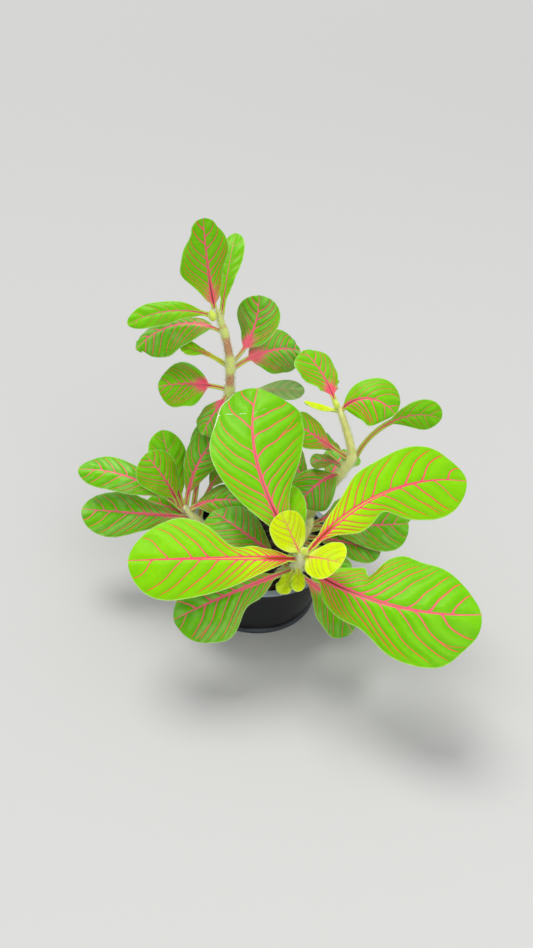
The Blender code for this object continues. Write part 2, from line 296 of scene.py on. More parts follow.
@dataclass(frozen=True)
class LeafFinish:
    """A living leaf at one age. A young leaf is thin and yellow-green, an old one deep green and glossy.

    The upper side shows pink veins pressed into puffed-up tissue. Its crests carry a painted sheen in
    patches, a paler tint standing in for light caught there, and painted shade darkens the grooves beside
    the veins. The midrib carries a darker or greener core. The lower side is paler and dull.
    """

    name: str
    panel: str
    shade: str
    # The next two fields are the colour and strength of a painted highlight: a paler tint on the puffed
    # crests that stands in for light caught there.
    painted_sheen: str
    painted_sheen_share: float
    wing: str
    wing_length: float
    stalk: str
    vein: str
    vein_edge: str
    core: str
    core_far: str
    core_length: float
    core_width: float
    under: str
    roughness: float
    gloss: float
    vein_scale: float = 1.0

    def upper(self) -> bpy.types.Material:
        """The leaf's upper side."""
        material = new_material(f"{self.name}_upper")
        tree = material.node_tree
        lateral = parts_of(tree, "lateral")
        fork = parts_of(tree, "fork")
        rib = parts_of(tree, "rib")
        habit = parts_of(tree, "habit")
        places = add_node(tree, "TexCoord").node.outputs["Object"]
        broad = add_node(tree, "TexNoise", None, {"Vector": places, "Scale": per_mm(7), "Detail": 2.0})
        fine = add_node(tree, "TexNoise", None, {"Vector": places, "Scale": per_mm(0.9), "Detail": 3.0})
        grain = {"Vector": places, "Scale": per_mm(0.6)}
        cells = add_node(tree, "TexVoronoi", {"feature": "SMOOTH_F1"}, grain)
        crest = combine(tree, "PINGPONG", lateral[0], 0.5)
        beside = combine(tree, "MULTIPLY", combine(tree, "PINGPONG", fork[0], 0.5), fork[1])
        nearest = combine(tree, "MINIMUM", combine(tree, "MULTIPLY", crest, lateral[1]), beside)
        masks = masks_of(
            tree,
            {
                "patch": (combine(tree, "MULTIPLY_ADD", fine, 0.35, broad), 0.48, 0.86, 0.85),
                # painted shade: darker green beside the veins stands in for shade in the grooves they are
                # pressed into
                "painted_groove_shade": (nearest, 3.4, 1.0, 0.5),
                "wing": (rib[1], self.wing_length, 0.3 * self.wing_length, 0.95),
                # painted sheen: paler patches on the crests between veins stand in for light caught there
                "painted_sheen": (combine(tree, "MULTIPLY_ADD", crest, 0.5, broad), 0.56, 0.86, self.painted_sheen_share),
                "edge": (habit[1], 0.42, 0.12, 0.4),
                "vein": (nearest, 1.45, 0.7, 0.97),
                "rib": (rib[0], 1.15, 0.8, 0.98),
                "core": (rib[2], 1.25, 0.65, 0.95),
                "core_far": (rib[1], 0.3 * self.core_length, 0.5 * self.core_length, 1.0),
                "scar": (combine(tree, "MULTIPLY_ADD", fine, 1.0, habit[2]), 1.9, 1.1, 0.9),
            },
        )
        side_vein = lay(tree, linear(self.vein), [(lateral[2], self.vein_edge)])
        centre = lay(tree, linear(self.core), [(masks["core_far"], self.core_far)])
        colour = lay(
            tree,
            linear(self.panel),
            [
                (masks["patch"], self.shade),
                (masks["wing"], self.wing),
                # painted sheen on the crests between veins
                (masks["painted_sheen"], self.painted_sheen),
                (fork[2], self.stalk),
                # painted shade in the grooves beside the veins
                (masks["painted_groove_shade"], self.shade),
                (masks["edge"], "#dcec9c"),
                (habit[0], self.vein),
                (masks["vein"], side_vein),
                (masks["rib"], self.vein),
                (masks["core"], centre),
                (masks["scar"], "#eceed2"),
            ],
        )
        pressed = combine(tree, "MAXIMUM", masks["vein"], masks["rib"])
        height = combine(tree, "MULTIPLY_ADD", cells, -0.4, combine(tree, "SUBTRACT", 1.0, pressed))
        bump = add_node(tree, "Bump", None, {"Height": height, "Strength": 0.5, "Distance": 0.2 * MM})
        limits = {"Value": fine, "To Min": self.roughness - 0.06, "To Max": self.roughness + 0.08}
        rough = add_node(tree, "MapRange", None, limits)
        inputs = {"Base Color": colour, "Roughness": rough, "IOR": 1.45, "Normal": bump}
        inputs.update({"Specular IOR Level": self.gloss, "Specular Tint": linear("#f2ffb4")})
        shader = add_node(tree, "BsdfPrincipled", None, inputs)
        through = add_node(tree, "BsdfTranslucent", None, {"Color": colour, "Normal": bump})
        leaf = add_node(tree, "MixShader", None, {0: 0.22, 1: shader, 2: through})
        add_node(tree, "OutputMaterial", None, {"Surface": leaf})
        return material

    def lower(self) -> bpy.types.Material:
        """The leaf's lower side, paler and dull, with its veins standing out."""
        material = new_material(f"{self.name}_lower")
        tree = material.node_tree
        lateral = parts_of(tree, "lateral")
        rib = parts_of(tree, "rib")
        places = add_node(tree, "TexCoord").node.outputs["Object"]
        fine = add_node(tree, "TexNoise", None, {"Vector": places, "Scale": per_mm(0.9), "Detail": 3.0})
        crest = combine(tree, "PINGPONG", lateral[0], 0.5)
        masks = masks_of(
            tree,
            {
                "panel": (combine(tree, "MULTIPLY_ADD", fine, 0.3, crest), 0.12, 0.6, 0.3),
                "vein": (combine(tree, "MULTIPLY", crest, lateral[1]), 2.2, 0.6, 0.3),
                "rib": (rib[0], 1.3, 0.6, 0.4),
            },
        )
        layers = [(masks["panel"], self.shade), (masks["vein"], "#d9a08c"), (masks["rib"], "#cf8a74")]
        colour = lay(tree, linear(self.under), layers)
        raised = combine(tree, "MAXIMUM", masks["vein"], masks["rib"])
        height = combine(tree, "MULTIPLY_ADD", fine, 0.4, raised)
        bump = add_node(tree, "Bump", None, {"Height": height, "Strength": 0.5, "Distance": 0.25 * MM})
        inputs = {"Base Color": colour, "Roughness": 0.6, "IOR": 1.42, "Normal": bump, "Sheen Weight": 0.3}
        shader = add_node(tree, "BsdfPrincipled", None, inputs)
        through = add_node(tree, "BsdfTranslucent", None, {"Color": colour, "Normal": bump})
        leaf = add_node(tree, "MixShader", None, {0: 0.22, 1: shader, 2: through})
        add_node(tree, "OutputMaterial", None, {"Surface": leaf})
        return material


class Tone(Enum):
    """The age of a leaf, and with it the record's slot that its colour belongs to."""

    YELLOW = "leaf_yellow"
    LIME = "leaf_lime"
    GREEN = "leaf_green"
    DEEP = "leaf_deep"


LEAF_FINISHES = {
    Tone.YELLOW: LeafFinish(
        name="opening_leaf",
        panel="#d6ec00",
        shade="#bede00",
        painted_sheen="#e2f850",
        painted_sheen_share=0.3,
        wing="#e6f660",
        wing_length=0.3,
        stalk="#dcea50",
        vein="#f0906a",
        vein_edge="#c2a010",
        core="#e0b070",
        core_far="#e08a58",
        core_length=0.1,
        core_width=0.3,
        under="#c2da6a",
        roughness=0.5,
        gloss=0.22,
        vein_scale=0.55,
    ),
    Tone.LIME: LeafFinish(
        name="young_leaf",
        panel="#88d400",
        shade="#74c600",
        painted_sheen="#a6e61c",
        painted_sheen_share=0.25,
        wing="#cdf206",
        wing_length=0.5,
        stalk="#c4d838",
        vein="#ff5070",
        vein_edge="#f45c1c",
        core="#a8480c",
        core_far="#b6e000",
        core_length=0.5,
        core_width=0.5,
        under="#b0d468",
        roughness=0.42,
        gloss=0.22,
    ),
    Tone.GREEN: LeafFinish(
        name="grown_leaf",
        panel="#76ca00",
        shade="#5eb800",
        painted_sheen="#90d820",
        painted_sheen_share=0.45,
        wing="#8ace00",
        wing_length=0.4,
        stalk="#c4d052",
        vein="#ff5c7e",
        vein_edge="#f26c20",
        core="#843c20",
        core_far="#86784a",
        core_length=0.75,
        core_width=0.36,
        under="#c0d898",
        roughness=0.38,
        gloss=0.3,
    ),
    Tone.DEEP: LeafFinish(
        name="old_leaf",
        panel="#70c602",
        shade="#4cac00",
        painted_sheen="#9cd25e",
        painted_sheen_share=0.6,
        wing="#7cba0c",
        wing_length=0.35,
        stalk="#c6cc60",
        vein="#ff6c86",
        vein_edge="#f47c48",
        core="#a04830",
        core_far="#d4504c",
        core_length=0.4,
        core_width=0.25,
        under="#b8dc84",
        roughness=0.34,
        gloss=0.38,
    ),
}


@dataclass(frozen=True)
class StemFinish:
    """A soft green stem, flushed with brown-pink between its joints and covered in white down."""

    name: str
    joint: str
    between: str
    streak: str
    slot: str

    def material(self) -> bpy.types.Material:
        """The stem's skin: long streaks, paler at each joint."""
        material = new_material(self.name)
        tree = material.node_tree
        joint = parts_of(tree, "joint")
        places = add_node(tree, "TexCoord").node.outputs["Object"]
        long = add_node(tree, "Mapping", None, {"Vector": places, "Scale": (1.0, 1.0, 0.14)})
        streaks = add_node(tree, "TexNoise", None, {"Vector": long, "Scale": per_mm(0.7), "Detail": 3.0})
        blotch = add_node(tree, "TexNoise", None, {"Vector": places, "Scale": per_mm(4), "Detail": 2.0})
        share = add_node(tree, "MapRange", None, {"Value": streaks, "From Min": 0.38, "From Max": 0.66})
        pale = add_node(tree, "Math", {"operation": "MULTIPLY_ADD"}, {0: blotch, 1: 0.4, 2: joint[0]})
        pale = add_node(tree, "MapRange", None, {"Value": pale, "From Min": 0.3, "From Max": 0.95})
        colour = lay(tree, linear(self.between), [(share, self.streak), (pale, self.joint)])
        bump = add_node(tree, "Bump", None, {"Height": streaks, "Strength": 0.5, "Distance": 0.15 * MM})
        shader = add_node(
            tree,
            "BsdfPrincipled",
            None,
            {"Base Color": colour, "Roughness": 0.48, "IOR": 1.42, "Normal": bump, "Sheen Weight": 0.35},
        )
        add_node(tree, "OutputMaterial", None, {"Surface": shader})
        return material


PALE_STEM = StemFinish("soft_stem_skin", "#f0f09a", "#efe88e", "#d2dc70", "stem_pale")
PINK_STEM = StemFinish("ripening_stem_skin", "#cdd870", "#c88a58", "#a87048", "stem_pink")


@dataclass(frozen=True)
class DownFinish:
    """Plant hair: clear cells that read as a white fuzz against the green. Drawn 0.1 mm thick to show."""

    colour: str = "#fbfcf2"
    mottling: str = "#eceed6"

    def material(self) -> bpy.types.Material:
        """The hair's own material, slightly see-through."""
        material = new_material("plant_down")
        tree = material.node_tree
        places = add_node(tree, "TexCoord").node.outputs["Object"]
        mottle = add_node(tree, "TexNoise", None, {"Vector": places, "Scale": per_mm(1.5)})
        colour = lay(tree, linear(self.colour), [(mottle, self.mottling)])
        shader = add_node(tree, "BsdfPrincipled", None, {"Base Color": colour, "Roughness": 0.55, "IOR": 1.5})
        through = add_node(tree, "BsdfTranslucent", None, {"Color": colour})
        hair = add_node(tree, "MixShader", None, {0: 0.45, 1: shader, 2: through})
        add_node(tree, "OutputMaterial", None, {"Surface": hair})
        return material


@dataclass(frozen=True)
class MouldedPlastic:
    """Injection-moulded polypropylene, nearly black: satin, with flow marks and dust, and a painted highlight
    on its lip and foot.
    """

    colour: str = "#0d0e12"
    dust: str = "#24231f"
    # a painted highlight: blue-grey on the rim's lip and, faintly, on the foot, standing in for reflected
    # light
    painted_highlight: str = "#8d99a5"

    def material(self) -> bpy.types.Material:
        """The pot's plastic."""
        material = new_material("moulded_polypropylene")
        tree = material.node_tree
        places = add_node(tree, "TexCoord").node.outputs["Object"]
        grain = add_node(tree, "TexNoise", None, {"Vector": places, "Scale": per_mm(0.5), "Detail": 2.0})
        flow = add_node(tree, "Mapping", None, {"Vector": places, "Scale": (1.0, 1.0, 5.0)})
        marks = {"Vector": flow, "Scale": per_mm(14), "Detail": 5.0, "Roughness": 0.65}
        flow = add_node(tree, "TexNoise", None, marks)
        specks = {"Vector": places, "Scale": per_mm(6), "Detail": 6.0, "Roughness": 0.7}
        dust = add_node(tree, "TexNoise", None, specks)
        settled = {"Value": dust, "From Min": 0.52, "From Max": 0.78, "To Max": 0.55}
        dusty = add_node(tree, "MapRange", None, settled)
        colour = lay(tree, linear(self.colour), [(dusty, self.dust)])
        height = add_node(tree, "SeparateXYZ", None, {0: places}).node.outputs["Z"]
        # painted highlights: a pale band on the rim's lip and a faint one on the foot stand in for light
        # reflected there
        lip = masks_of(tree, {"lip": (height, 26.1 * MM, 26.6 * MM, 0.9)})["lip"]
        foot = masks_of(tree, {"foot": (height, 2.1 * MM, 1.5 * MM, 0.12)})["foot"]
        colour = lay(tree, colour, [(lip, self.painted_highlight), (foot, self.painted_highlight)])
        rough = add_node(tree, "MapRange", None, {"Value": flow, "To Min": 0.24, "To Max": 0.42})
        rough = add_node(tree, "Math", {"operation": "MULTIPLY_ADD"}, {0: dusty, 1: 0.3, 2: rough})
        bump = add_node(tree, "Bump", None, {"Height": grain, "Strength": 0.25, "Distance": 0.05 * MM})
        skin = {"Base Color": colour, "Roughness": rough, "IOR": 1.49, "Normal": bump}
        shader = add_node(tree, "BsdfPrincipled", None, {**skin, "Specular IOR Level": 0.35})
        add_node(tree, "OutputMaterial", None, {"Surface": shader})
        return material


@dataclass(frozen=True)
class Peat:
    """Damp potting mix of peat and fine bark: nearly black crumbs, some browner, all dull."""

    dark: str = "#1e1510"
    brown: str = "#4a3424"

    def material(self) -> bpy.types.Material:
        """The potting mix, tinted crumb by crumb."""
        material = new_material("peat_mix")
        tree = material.node_tree
        crumb = parts_of(tree, "crumb")
        places = add_node(tree, "TexCoord").node.outputs["Object"]
        fibre = add_node(tree, "TexNoise", None, {"Vector": places, "Scale": per_mm(0.6), "Detail": 5.0})
        mixed = add_node(tree, "Math", {"operation": "MULTIPLY_ADD"}, {0: fibre, 1: 0.5, 2: crumb[0]})
        mixed = add_node(tree, "MapRange", None, {"Value": mixed, "From Min": 0.25, "From Max": 1.25})
        colour = lay(tree, linear(self.dark), [(mixed, self.brown)])
        bump = add_node(tree, "Bump", None, {"Height": fibre, "Strength": 0.8, "Distance": 0.3 * MM})
        shader = add_node(
            tree, "BsdfPrincipled", None, {"Base Color": colour, "Roughness": 0.9, "IOR": 1.4, "Normal": bump}
        )
        add_node(tree, "OutputMaterial", None, {"Surface": shader})
        return material


# ---------------------------------------------------------------------------------------------------
# Down
# ---------------------------------------------------------------------------------------------------


@dataclass
class Down:
    """Plant hairs, each a tapered three-sided spike with one bend."""

    length: float
    thickness: float
    spread: float
    dice: np.random.RandomState

    def grow(self, draft: Draft, roots: np.ndarray, ways: np.ndarray, slot: int) -> None:
        """Add one hair at each root.

        Args:
            draft: the mesh that they join.
            roots: where each hair starts.
            ways: the direction in which each leaves the surface.
            slot: the material slot of the hairs.
        """
        count = len(roots)
        ways = unit(ways + self.spread * self.dice.normal(size=(count, 3)))
        bends = unit(ways + 0.45 * self.dice.normal(size=(count, 3)))
        reach = self.length * self.dice.uniform(0.6, 1.25, size=(count, 1))
        side = unit(np.cross(ways, self.dice.normal(size=(count, 3))))
        other = np.cross(ways, side)
        middle = roots + ways * reach * 0.5
        tips = middle + bends * reach * 0.5
        rings = []
        for centre, radius in ((roots - ways * 0.1, self.thickness), (middle, 0.6 * self.thickness)):
            for turn in range(3):
                angle = math.tau * turn / 3
                rings.append(centre + radius * (math.cos(angle) * side + math.sin(angle) * other))
        points = np.stack([*rings, tips], axis=1).reshape(-1, 3)
        faces = []
        for hair in range(count):
            start = 7 * hair
            faces.append((start + 2, start + 1, start))
            for turn in range(3):
                right = (turn + 1) % 3
                faces.append((start + turn, start + right, start + 3 + right, start + 3 + turn))
                faces.append((start + 3 + turn, start + 3 + right, start + 6))
        draft.add(points, faces, slot)


# ---------------------------------------------------------------------------------------------------
# Stems
# ---------------------------------------------------------------------------------------------------


@dataclass(frozen=True)
class Stem:
    """A stem along (x, y, z, radius) points, from the potting mix up.

    taper is how much of its top narrows, and cut is how much of the route's end the leaf bases hide.
    """

    name: str
    route: tuple[tuple[float, float, float, float], ...]
    finish: StemFinish
    down_per_mm: float
    woolly_top: int = 0
    taper: float = 2.2
    cut: float = 0.0

    SIDES = 20
    RING_STEP = 0.5
    SOFTENING = 1.8
    SUNK = 2.2
    JOINT_SWELL = 0.22
    JOINT_LENGTH = 1.9

    def line(self) -> np.ndarray:
        """The route in small steps with its bends rounded, one (x, y, z, radius) row a step."""
        route = np.array(self.route, float)
        heights = np.arange(route[0, 2], route[-1, 2] + 1e-6, self.RING_STEP)
        rows = np.stack([np.interp(heights, route[:, 2], route[:, item]) for item in range(4)], axis=1)
        reach = int(3 * self.SOFTENING / self.RING_STEP)
        weights = np.exp(-0.5 * (np.arange(-reach, reach + 1) * self.RING_STEP / self.SOFTENING) ** 2)
        weights /= weights.sum()
        before = 2 * rows[0] - rows[reach:0:-1]
        after = 2 * rows[-1] - rows[-2 : -reach - 2 : -1]
        padded = np.vstack([before, rows, after])
        return np.stack([np.convolve(padded[:, item], weights, "valid") for item in range(4)], axis=1)

    def at(self, height: float) -> tuple[np.ndarray, float]:
        """Centre and radius of the stem at a height."""
        line = self.line()
        values = [np.interp(height, line[:, 2], line[:, item]) for item in range(4)]
        return np.array(values[:3]), float(values[3])

    def build(
        self, joints: list[float], skin: bpy.types.Material, down: bpy.types.Material
    ) -> bpy.types.Object:
        """Make the stem's tube with swollen joints and its down.

        Args:
            joints: the heights at which leaves leave it.
            skin: the stem's own material.
            down: the material of its hairs.

        Returns:
            The stem.
        """
        dice = np.random.RandomState(sum(map(ord, self.name)))
        line = self.line()
        line = line[line[:, 2] <= line[-1, 2] - self.cut]
        foot = line[0].copy()
        foot[2] -= self.SUNK
        line = np.vstack([foot, line])
        centres = line[:, :3]
        radii = line[:, 3]
        swell = np.zeros(len(line))
        for height in joints:
            swell = np.maximum(swell, np.exp(-(((centres[:, 2] - height + 0.6) / self.JOINT_LENGTH) ** 2)))
        tip = smooth_step(centres[:, 2], centres[-1, 2], centres[-1, 2] - self.taper)
        radii = radii * (1 + self.JOINT_SWELL * swell) * (0.35 + 0.65 * np.sqrt(tip))
        along = unit(np.gradient(centres, axis=0))
        side = unit(np.cross(along, np.array([0.0, 1.0, 0.0])))
        other = np.cross(along, side)
        angles = np.linspace(0, math.tau, self.SIDES, endpoint=False)
        square = 1 + 0.045 * np.cos(4 * angles)
        ripple = 1 + 0.03 * np.sin(centres[:, 2, None] * 1.7 + 2 * angles + dice.uniform(0, 6))
        out = np.cos(angles)[None, :, None] * side[:, None] + np.sin(angles)[None, :, None] * other[:, None]
        points = centres[:, None] + out * (radii[:, None] * square * ripple)[..., None]
        rows = len(line)
        draft = Draft(data={("joint", Domain.POINT): []})
        grid = np.vstack([points.reshape(-1, 3), centres[0], centres[-1] + along[-1] * 0.25])
        faces = [face[::-1] for face in grid_faces(rows, self.SIDES, closed=True)]
        bottom, top = rows * self.SIDES, rows * self.SIDES + 1
        last = (rows - 1) * self.SIDES
        for turn in range(self.SIDES):
            right = (turn + 1) % self.SIDES
            faces.append((bottom, turn, right))
            faces.append((top, last + right, last + turn))
        shade = np.concatenate([np.repeat(swell, self.SIDES), [0, swell[-1]]])
        draft.add(grid, faces, 0, {("joint", Domain.POINT): np.stack([shade] * 3, axis=1)})
        length = centres[-1, 2] - centres[1, 2]
        count = int(length * self.down_per_mm)
        rows_picked = dice.randint(2, rows, count)
        turns = dice.randint(0, self.SIDES, count)
        ways = out[rows_picked, turns] + 0.15 * along[rows_picked]
        Down(1.15, 0.055, 0.25, dice).grow(draft, points[rows_picked, turns], ways, 1)
        if self.woolly_top:
            rows_picked = dice.randint(rows - int(12 / self.RING_STEP), rows, self.woolly_top)
            turns = dice.randint(0, self.SIDES, self.woolly_top)
            Down(1.7, 0.06, 0.6, dice).grow(draft, points[rows_picked, turns], out[rows_picked, turns], 1)
        return draft.to_object(f"{self.name}_grown", [skin, down])


STEMS = (
    Stem(
        "front_stem",
        ((9, -12, 21.3, 1.7), (12, -22, 31, 1.6), (14.5, -30, 41, 1.5), (15.2, -35, 51, 1.1)),
        PALE_STEM,
        30,
        woolly_top=800,
    ),
    Stem(
        "left_stem",
        ((-12, 2, 21.3, 1.5), (-19, 3, 27, 1.4), (-26, 4, 33, 1.3), (-30, 4, 39, 1.0)),
        PALE_STEM,
        24,
        woolly_top=160,
        taper=6,
        cut=1.6,
    ),
    Stem(
        "tall_stem",
        (
            (-7, 11, 21.3, 1.9),
            (-11.5, 19, 44, 1.8),
            (-14, 25.5, 70, 1.6),
            (-14, 28.5, 86, 1.4),
            (-16.5, 31, 96, 1.3),
            (-21, 33, 108, 0.9),
        ),
        PINK_STEM,
        60,
        taper=8,
        cut=2.6,
    ),
    Stem(
        "right_stem",
        ((12, 8, 21.3, 1.8), (22, 9, 38, 1.7), (33, 10, 60, 1.5), (29.5, 12.5, 70, 1.3), (25, 15, 80, 1.0)),
        PALE_STEM,
        34,
        taper=5,
        cut=1.2,
    ),
    Stem("middle_stem", ((13, -3, 21.3, 1.4), (17, -3, 31, 1.3), (19.5, -3.5, 41, 1.1)), PALE_STEM, 14),
)


# ---------------------------------------------------------------------------------------------------
# Leaves
# ---------------------------------------------------------------------------------------------------


class Side(Enum):
    """One half of a leaf, seen from above with the stem behind."""

    LEFT = -1
    RIGHT = 1


@dataclass(frozen=True)
class Bay:
    """A place where a leaf's outline draws in, or swells out where depth is below 0.

    share and spread are parts of the leaf's length, and depth is a part of its half width.
    """

    side: Side
    share: float
    depth: float
    spread: float


@dataclass(frozen=True)
class Leaf:
    """A leaf on its stem.

    heading is its direction seen from above, 0 along +X and 90 along +Y. rise is its slope where it
    leaves the stem, and droop is how far that slope falls by the tip. sweep turns the heading by the
    tip. roll lifts the side that is on the right of its heading. cup bends both sides down. stalk is
    the share of the length that is bare stalk, and a large taper keeps the blade narrow for longer.

    pairs is the number of side veins on each half, and crowding is how many times closer they sit at
    the base than at the tip. marking scales their width. flush is how far pink floods the blade's base.
    ruffle and quilt are the edge's wave and the puffing between veins, in millimetres.
    """

    name: str
    stem: str
    height: float
    heading: float
    rise: float
    droop: float
    sweep: float
    length: float
    width: float
    roll: float
    cup: float
    stalk: float
    taper: float
    tone: Tone
    pairs: int = 8
    crowding: float = 4.0
    marking: float = 1.0
    flush: float = 0.0
    ruffle: float = 0.4
    quilt: float = 0.5
    bays: tuple[Bay, ...] = ()
    scarred: bool = False
    filed: str = ""  # the record's slot, where the leaf has coloured differently from it


@dataclass
class Half:
    """One half of a blade as grids of rows along it and columns out from the midrib."""

    place: np.ndarray
    out: np.ndarray
    number: np.ndarray
    lateral: np.ndarray | None = None
    fork: np.ndarray | None = None


class LeafBuilder:
    """Turns a leaf's habit into its blade: outline, curl, puffed tissue, veins, keel and edge hairs."""

    CELL = 0.72
    BLADE_THICKNESS = 0.34
    EDGE_THICKNESS = 0.2
    MIDRIB_STEPS = 160
    TIP_CROWDING = 0.8
    VEIN_LEAN = 0.6  # how far a side vein gains along the leaf for each part outwards, near the midrib
    VEIN_CURVE = 0.55  # how far it gains by the edge on top of that, in half widths
    VEIN_REACH = 0.95  # share of the length by which the last side vein starts
    VEIN_HUG = 0.19  # how far a side vein runs along the midrib before it leaves, in leaf widths, at the base
    FORK_SHARE = 0.06
    BARE = 900.0  # a distance, in vein widths, that shows no vein

    ATTRIBUTES = (
        ("lateral", Domain.CORNER),
        ("fork", Domain.CORNER),
        ("rib", Domain.POINT),
        ("habit", Domain.POINT),
    )

    def __init__(self, leaf: Leaf, stem: Stem) -> None:
        """Take up one leaf and the stem that carries it."""
        self.leaf = leaf
        self.stem = stem
        self.finish = LEAF_FINISHES[leaf.tone]
        seed = sum(index * ord(letter) for index, letter in enumerate(leaf.name, 1))
        self.dice = np.random.RandomState(seed)
        self.waves = {side: self.dice.uniform(0, math.tau, 8) for side in Side}
        rows = max(44, int(leaf.length / self.CELL))
        even = np.linspace(0, 1, rows)
        crowded = (1 - self.TIP_CROWDING) * even + self.TIP_CROWDING * np.sin(0.5 * math.pi * even)
        back = (LEAF_GAP + 0.5 * stem.at(leaf.height)[1]) / leaf.length
        self.shares = np.concatenate([[-back, -0.5 * back], crowded])
        self.inside = np.clip(self.shares, 0, 1)
        self.across = np.linspace(0, 1, max(8, int(0.5 * leaf.width / self.CELL)) + 1)

    def direction(self, shares: np.ndarray) -> np.ndarray:
        """The way the midrib runs at each share of the length."""
        leaf = self.leaf
        heading = np.radians(leaf.heading + leaf.sweep * shares)
        rise = np.radians(leaf.rise - leaf.droop * shares)
        flat = np.cos(rise)
        return np.stack([flat * np.cos(heading), flat * np.sin(heading), np.sin(rise)], axis=-1)

    def frames(self, shares: np.ndarray) -> tuple[np.ndarray, np.ndarray]:
        """The blade's sideways and upward directions at each share of the length."""
        heading = np.radians(self.leaf.heading + self.leaf.sweep * shares)
        side = np.stack([np.sin(heading), -np.cos(heading), np.zeros_like(heading)], axis=-1)
        up = np.cross(side, self.direction(shares))
        turn = math.radians(self.leaf.roll)
        return math.cos(turn) * side + math.sin(turn) * up, math.cos(turn) * up - math.sin(turn) * side

    def midrib(self, shares: np.ndarray) -> np.ndarray:
        """Points along the midrib. A share below 0 runs back into the stem."""
        leaf = self.leaf
        centre, radius = self.stem.at(leaf.height)
        heading = math.radians(leaf.heading)
        start = centre + np.array([math.cos(heading), math.sin(heading), 0]) * (radius + LEAF_GAP)
        fine = np.linspace(0, 1, self.MIDRIB_STEPS + 1)
        steps = self.direction(0.5 * (fine[1:] + fine[:-1])) * leaf.length / self.MIDRIB_STEPS
        path = np.vstack([np.zeros(3), np.cumsum(steps, axis=0)]) + start
        points = np.stack([np.interp(shares, fine, path[:, axis]) for axis in range(3)], axis=1)
        back = np.minimum(shares, 0)[:, None] * leaf.length
        return points + back * self.direction(np.zeros(len(shares)))

    def plain_half(self, shares: np.ndarray) -> np.ndarray:
        """Half the blade's width at each share of the length, before any bays."""
        leaf = self.leaf
        along = np.clip((shares - leaf.stalk) / (1 - leaf.stalk), 0, 1)
        blade = along**leaf.taper * (1 - along**TIP_BLUNTNESS) ** 0.6
        widest = (leaf.taper / (leaf.taper + 0.6 * TIP_BLUNTNESS)) ** (1 / TIP_BLUNTNESS)
        return 0.5 * leaf.width * blade / (widest**leaf.taper * (1 - widest**TIP_BLUNTNESS) ** 0.6)

    def half_width(self, shares: np.ndarray, side: Side) -> np.ndarray:
        """Half the blade's width on one side at each share of the length."""
        half = self.plain_half(shares)
        for bay in self.leaf.bays:
            if bay.side is side:
                half = half * (1 - bay.depth * np.exp(-(((shares - bay.share) / bay.spread) ** 2)))
        least = STALK_HALF_WIDTH * smooth_step(shares, 1.0, 0.75) + TIP_HALF_WIDTH
        return np.maximum(least, half)

    def vein_numbers(self, out: np.ndarray, side: Side) -> np.ndarray:
        """Number the side veins: one runs wherever the number is whole."""
        leaf = self.leaf
        wave = self.waves[side]
        shares = self.inside[:, None]
        lean = self.VEIN_LEAN * out + self.VEIN_CURVE * self.plain_half(shares) * self.across**2.4
        hug = self.VEIN_HUG * leaf.width * min(1.0, leaf.width / 35) ** 3
        lean = lean + hug * (1 - shares) ** 1.5 * (1 - np.exp(-out / 1.7))
        start = 0.8 * leaf.stalk + 0.015
        reach = (shares - lean / leaf.length - start) / (self.VEIN_REACH - start)
        number = leaf.pairs * np.log1p(np.maximum(reach, 0) * (leaf.crowding - 1)) / math.log(leaf.crowding)
        ripple = 0.03 * np.sin(0.9 * out + wave[1] + 2.3 * number)
        number = number + 0.14 * np.sin(1.9 * number + wave[0]) + ripple
        stagger = 0.45 if side is Side.RIGHT else 0.0
        return 0.5 + number + 0.4 * np.minimum(reach, 0) + stagger * smooth_step(number, 0.5, 2.0)

    def shape_half(self, side: Side, rib: np.ndarray, side_way: np.ndarray, up_way: np.ndarray) -> Half:
        """Place one half of the upper surface.

        Args:
            side: which half.
            rib: the midrib's points.
            side_way: the blade's sideways direction at each.
            up_way: the blade's upward direction at each.

        Returns:
            The half without its vein widths.
        """
        leaf = self.leaf
        wave = self.waves[side]
        half = self.half_width(self.shares, side)
        edge = 1 + 0.02 * np.sin(wave[2] + 11 * self.shares)[:, None] * self.across
        out = half[:, None] * self.across * edge
        number = self.vein_numbers(out, side)
        full = np.minimum(1.0, 4 * half / leaf.width)[:, None]
        drop = CUP_DEPTH * leaf.cup * half[:, None] * self.across**CUP_CURVE
        ruffle = leaf.ruffle * self.across**3 * np.sin(wave[3] + 15 * self.shares)[:, None] * full
        ruffle = ruffle * np.sin(math.pi * self.inside)[:, None] ** 0.5
        inside = (1 - np.exp(-((out / 1.3) ** 2))) * (1 - 0.75 * self.across**6)
        puff = leaf.quilt * (0.5 - 0.5 * np.cos(math.tau * number)) * inside * full
        sink = 0.3 * np.exp(-((out / 0.9) ** 2)) * full
        sideways = side.value * side_way[:, None] * (out * (1 - CUP_NARROWING * leaf.cup))[..., None]
        place = rib[:, None] + sideways + up_way[:, None] * (ruffle + puff - drop - sink)[..., None]
        return Half(place, out, number)

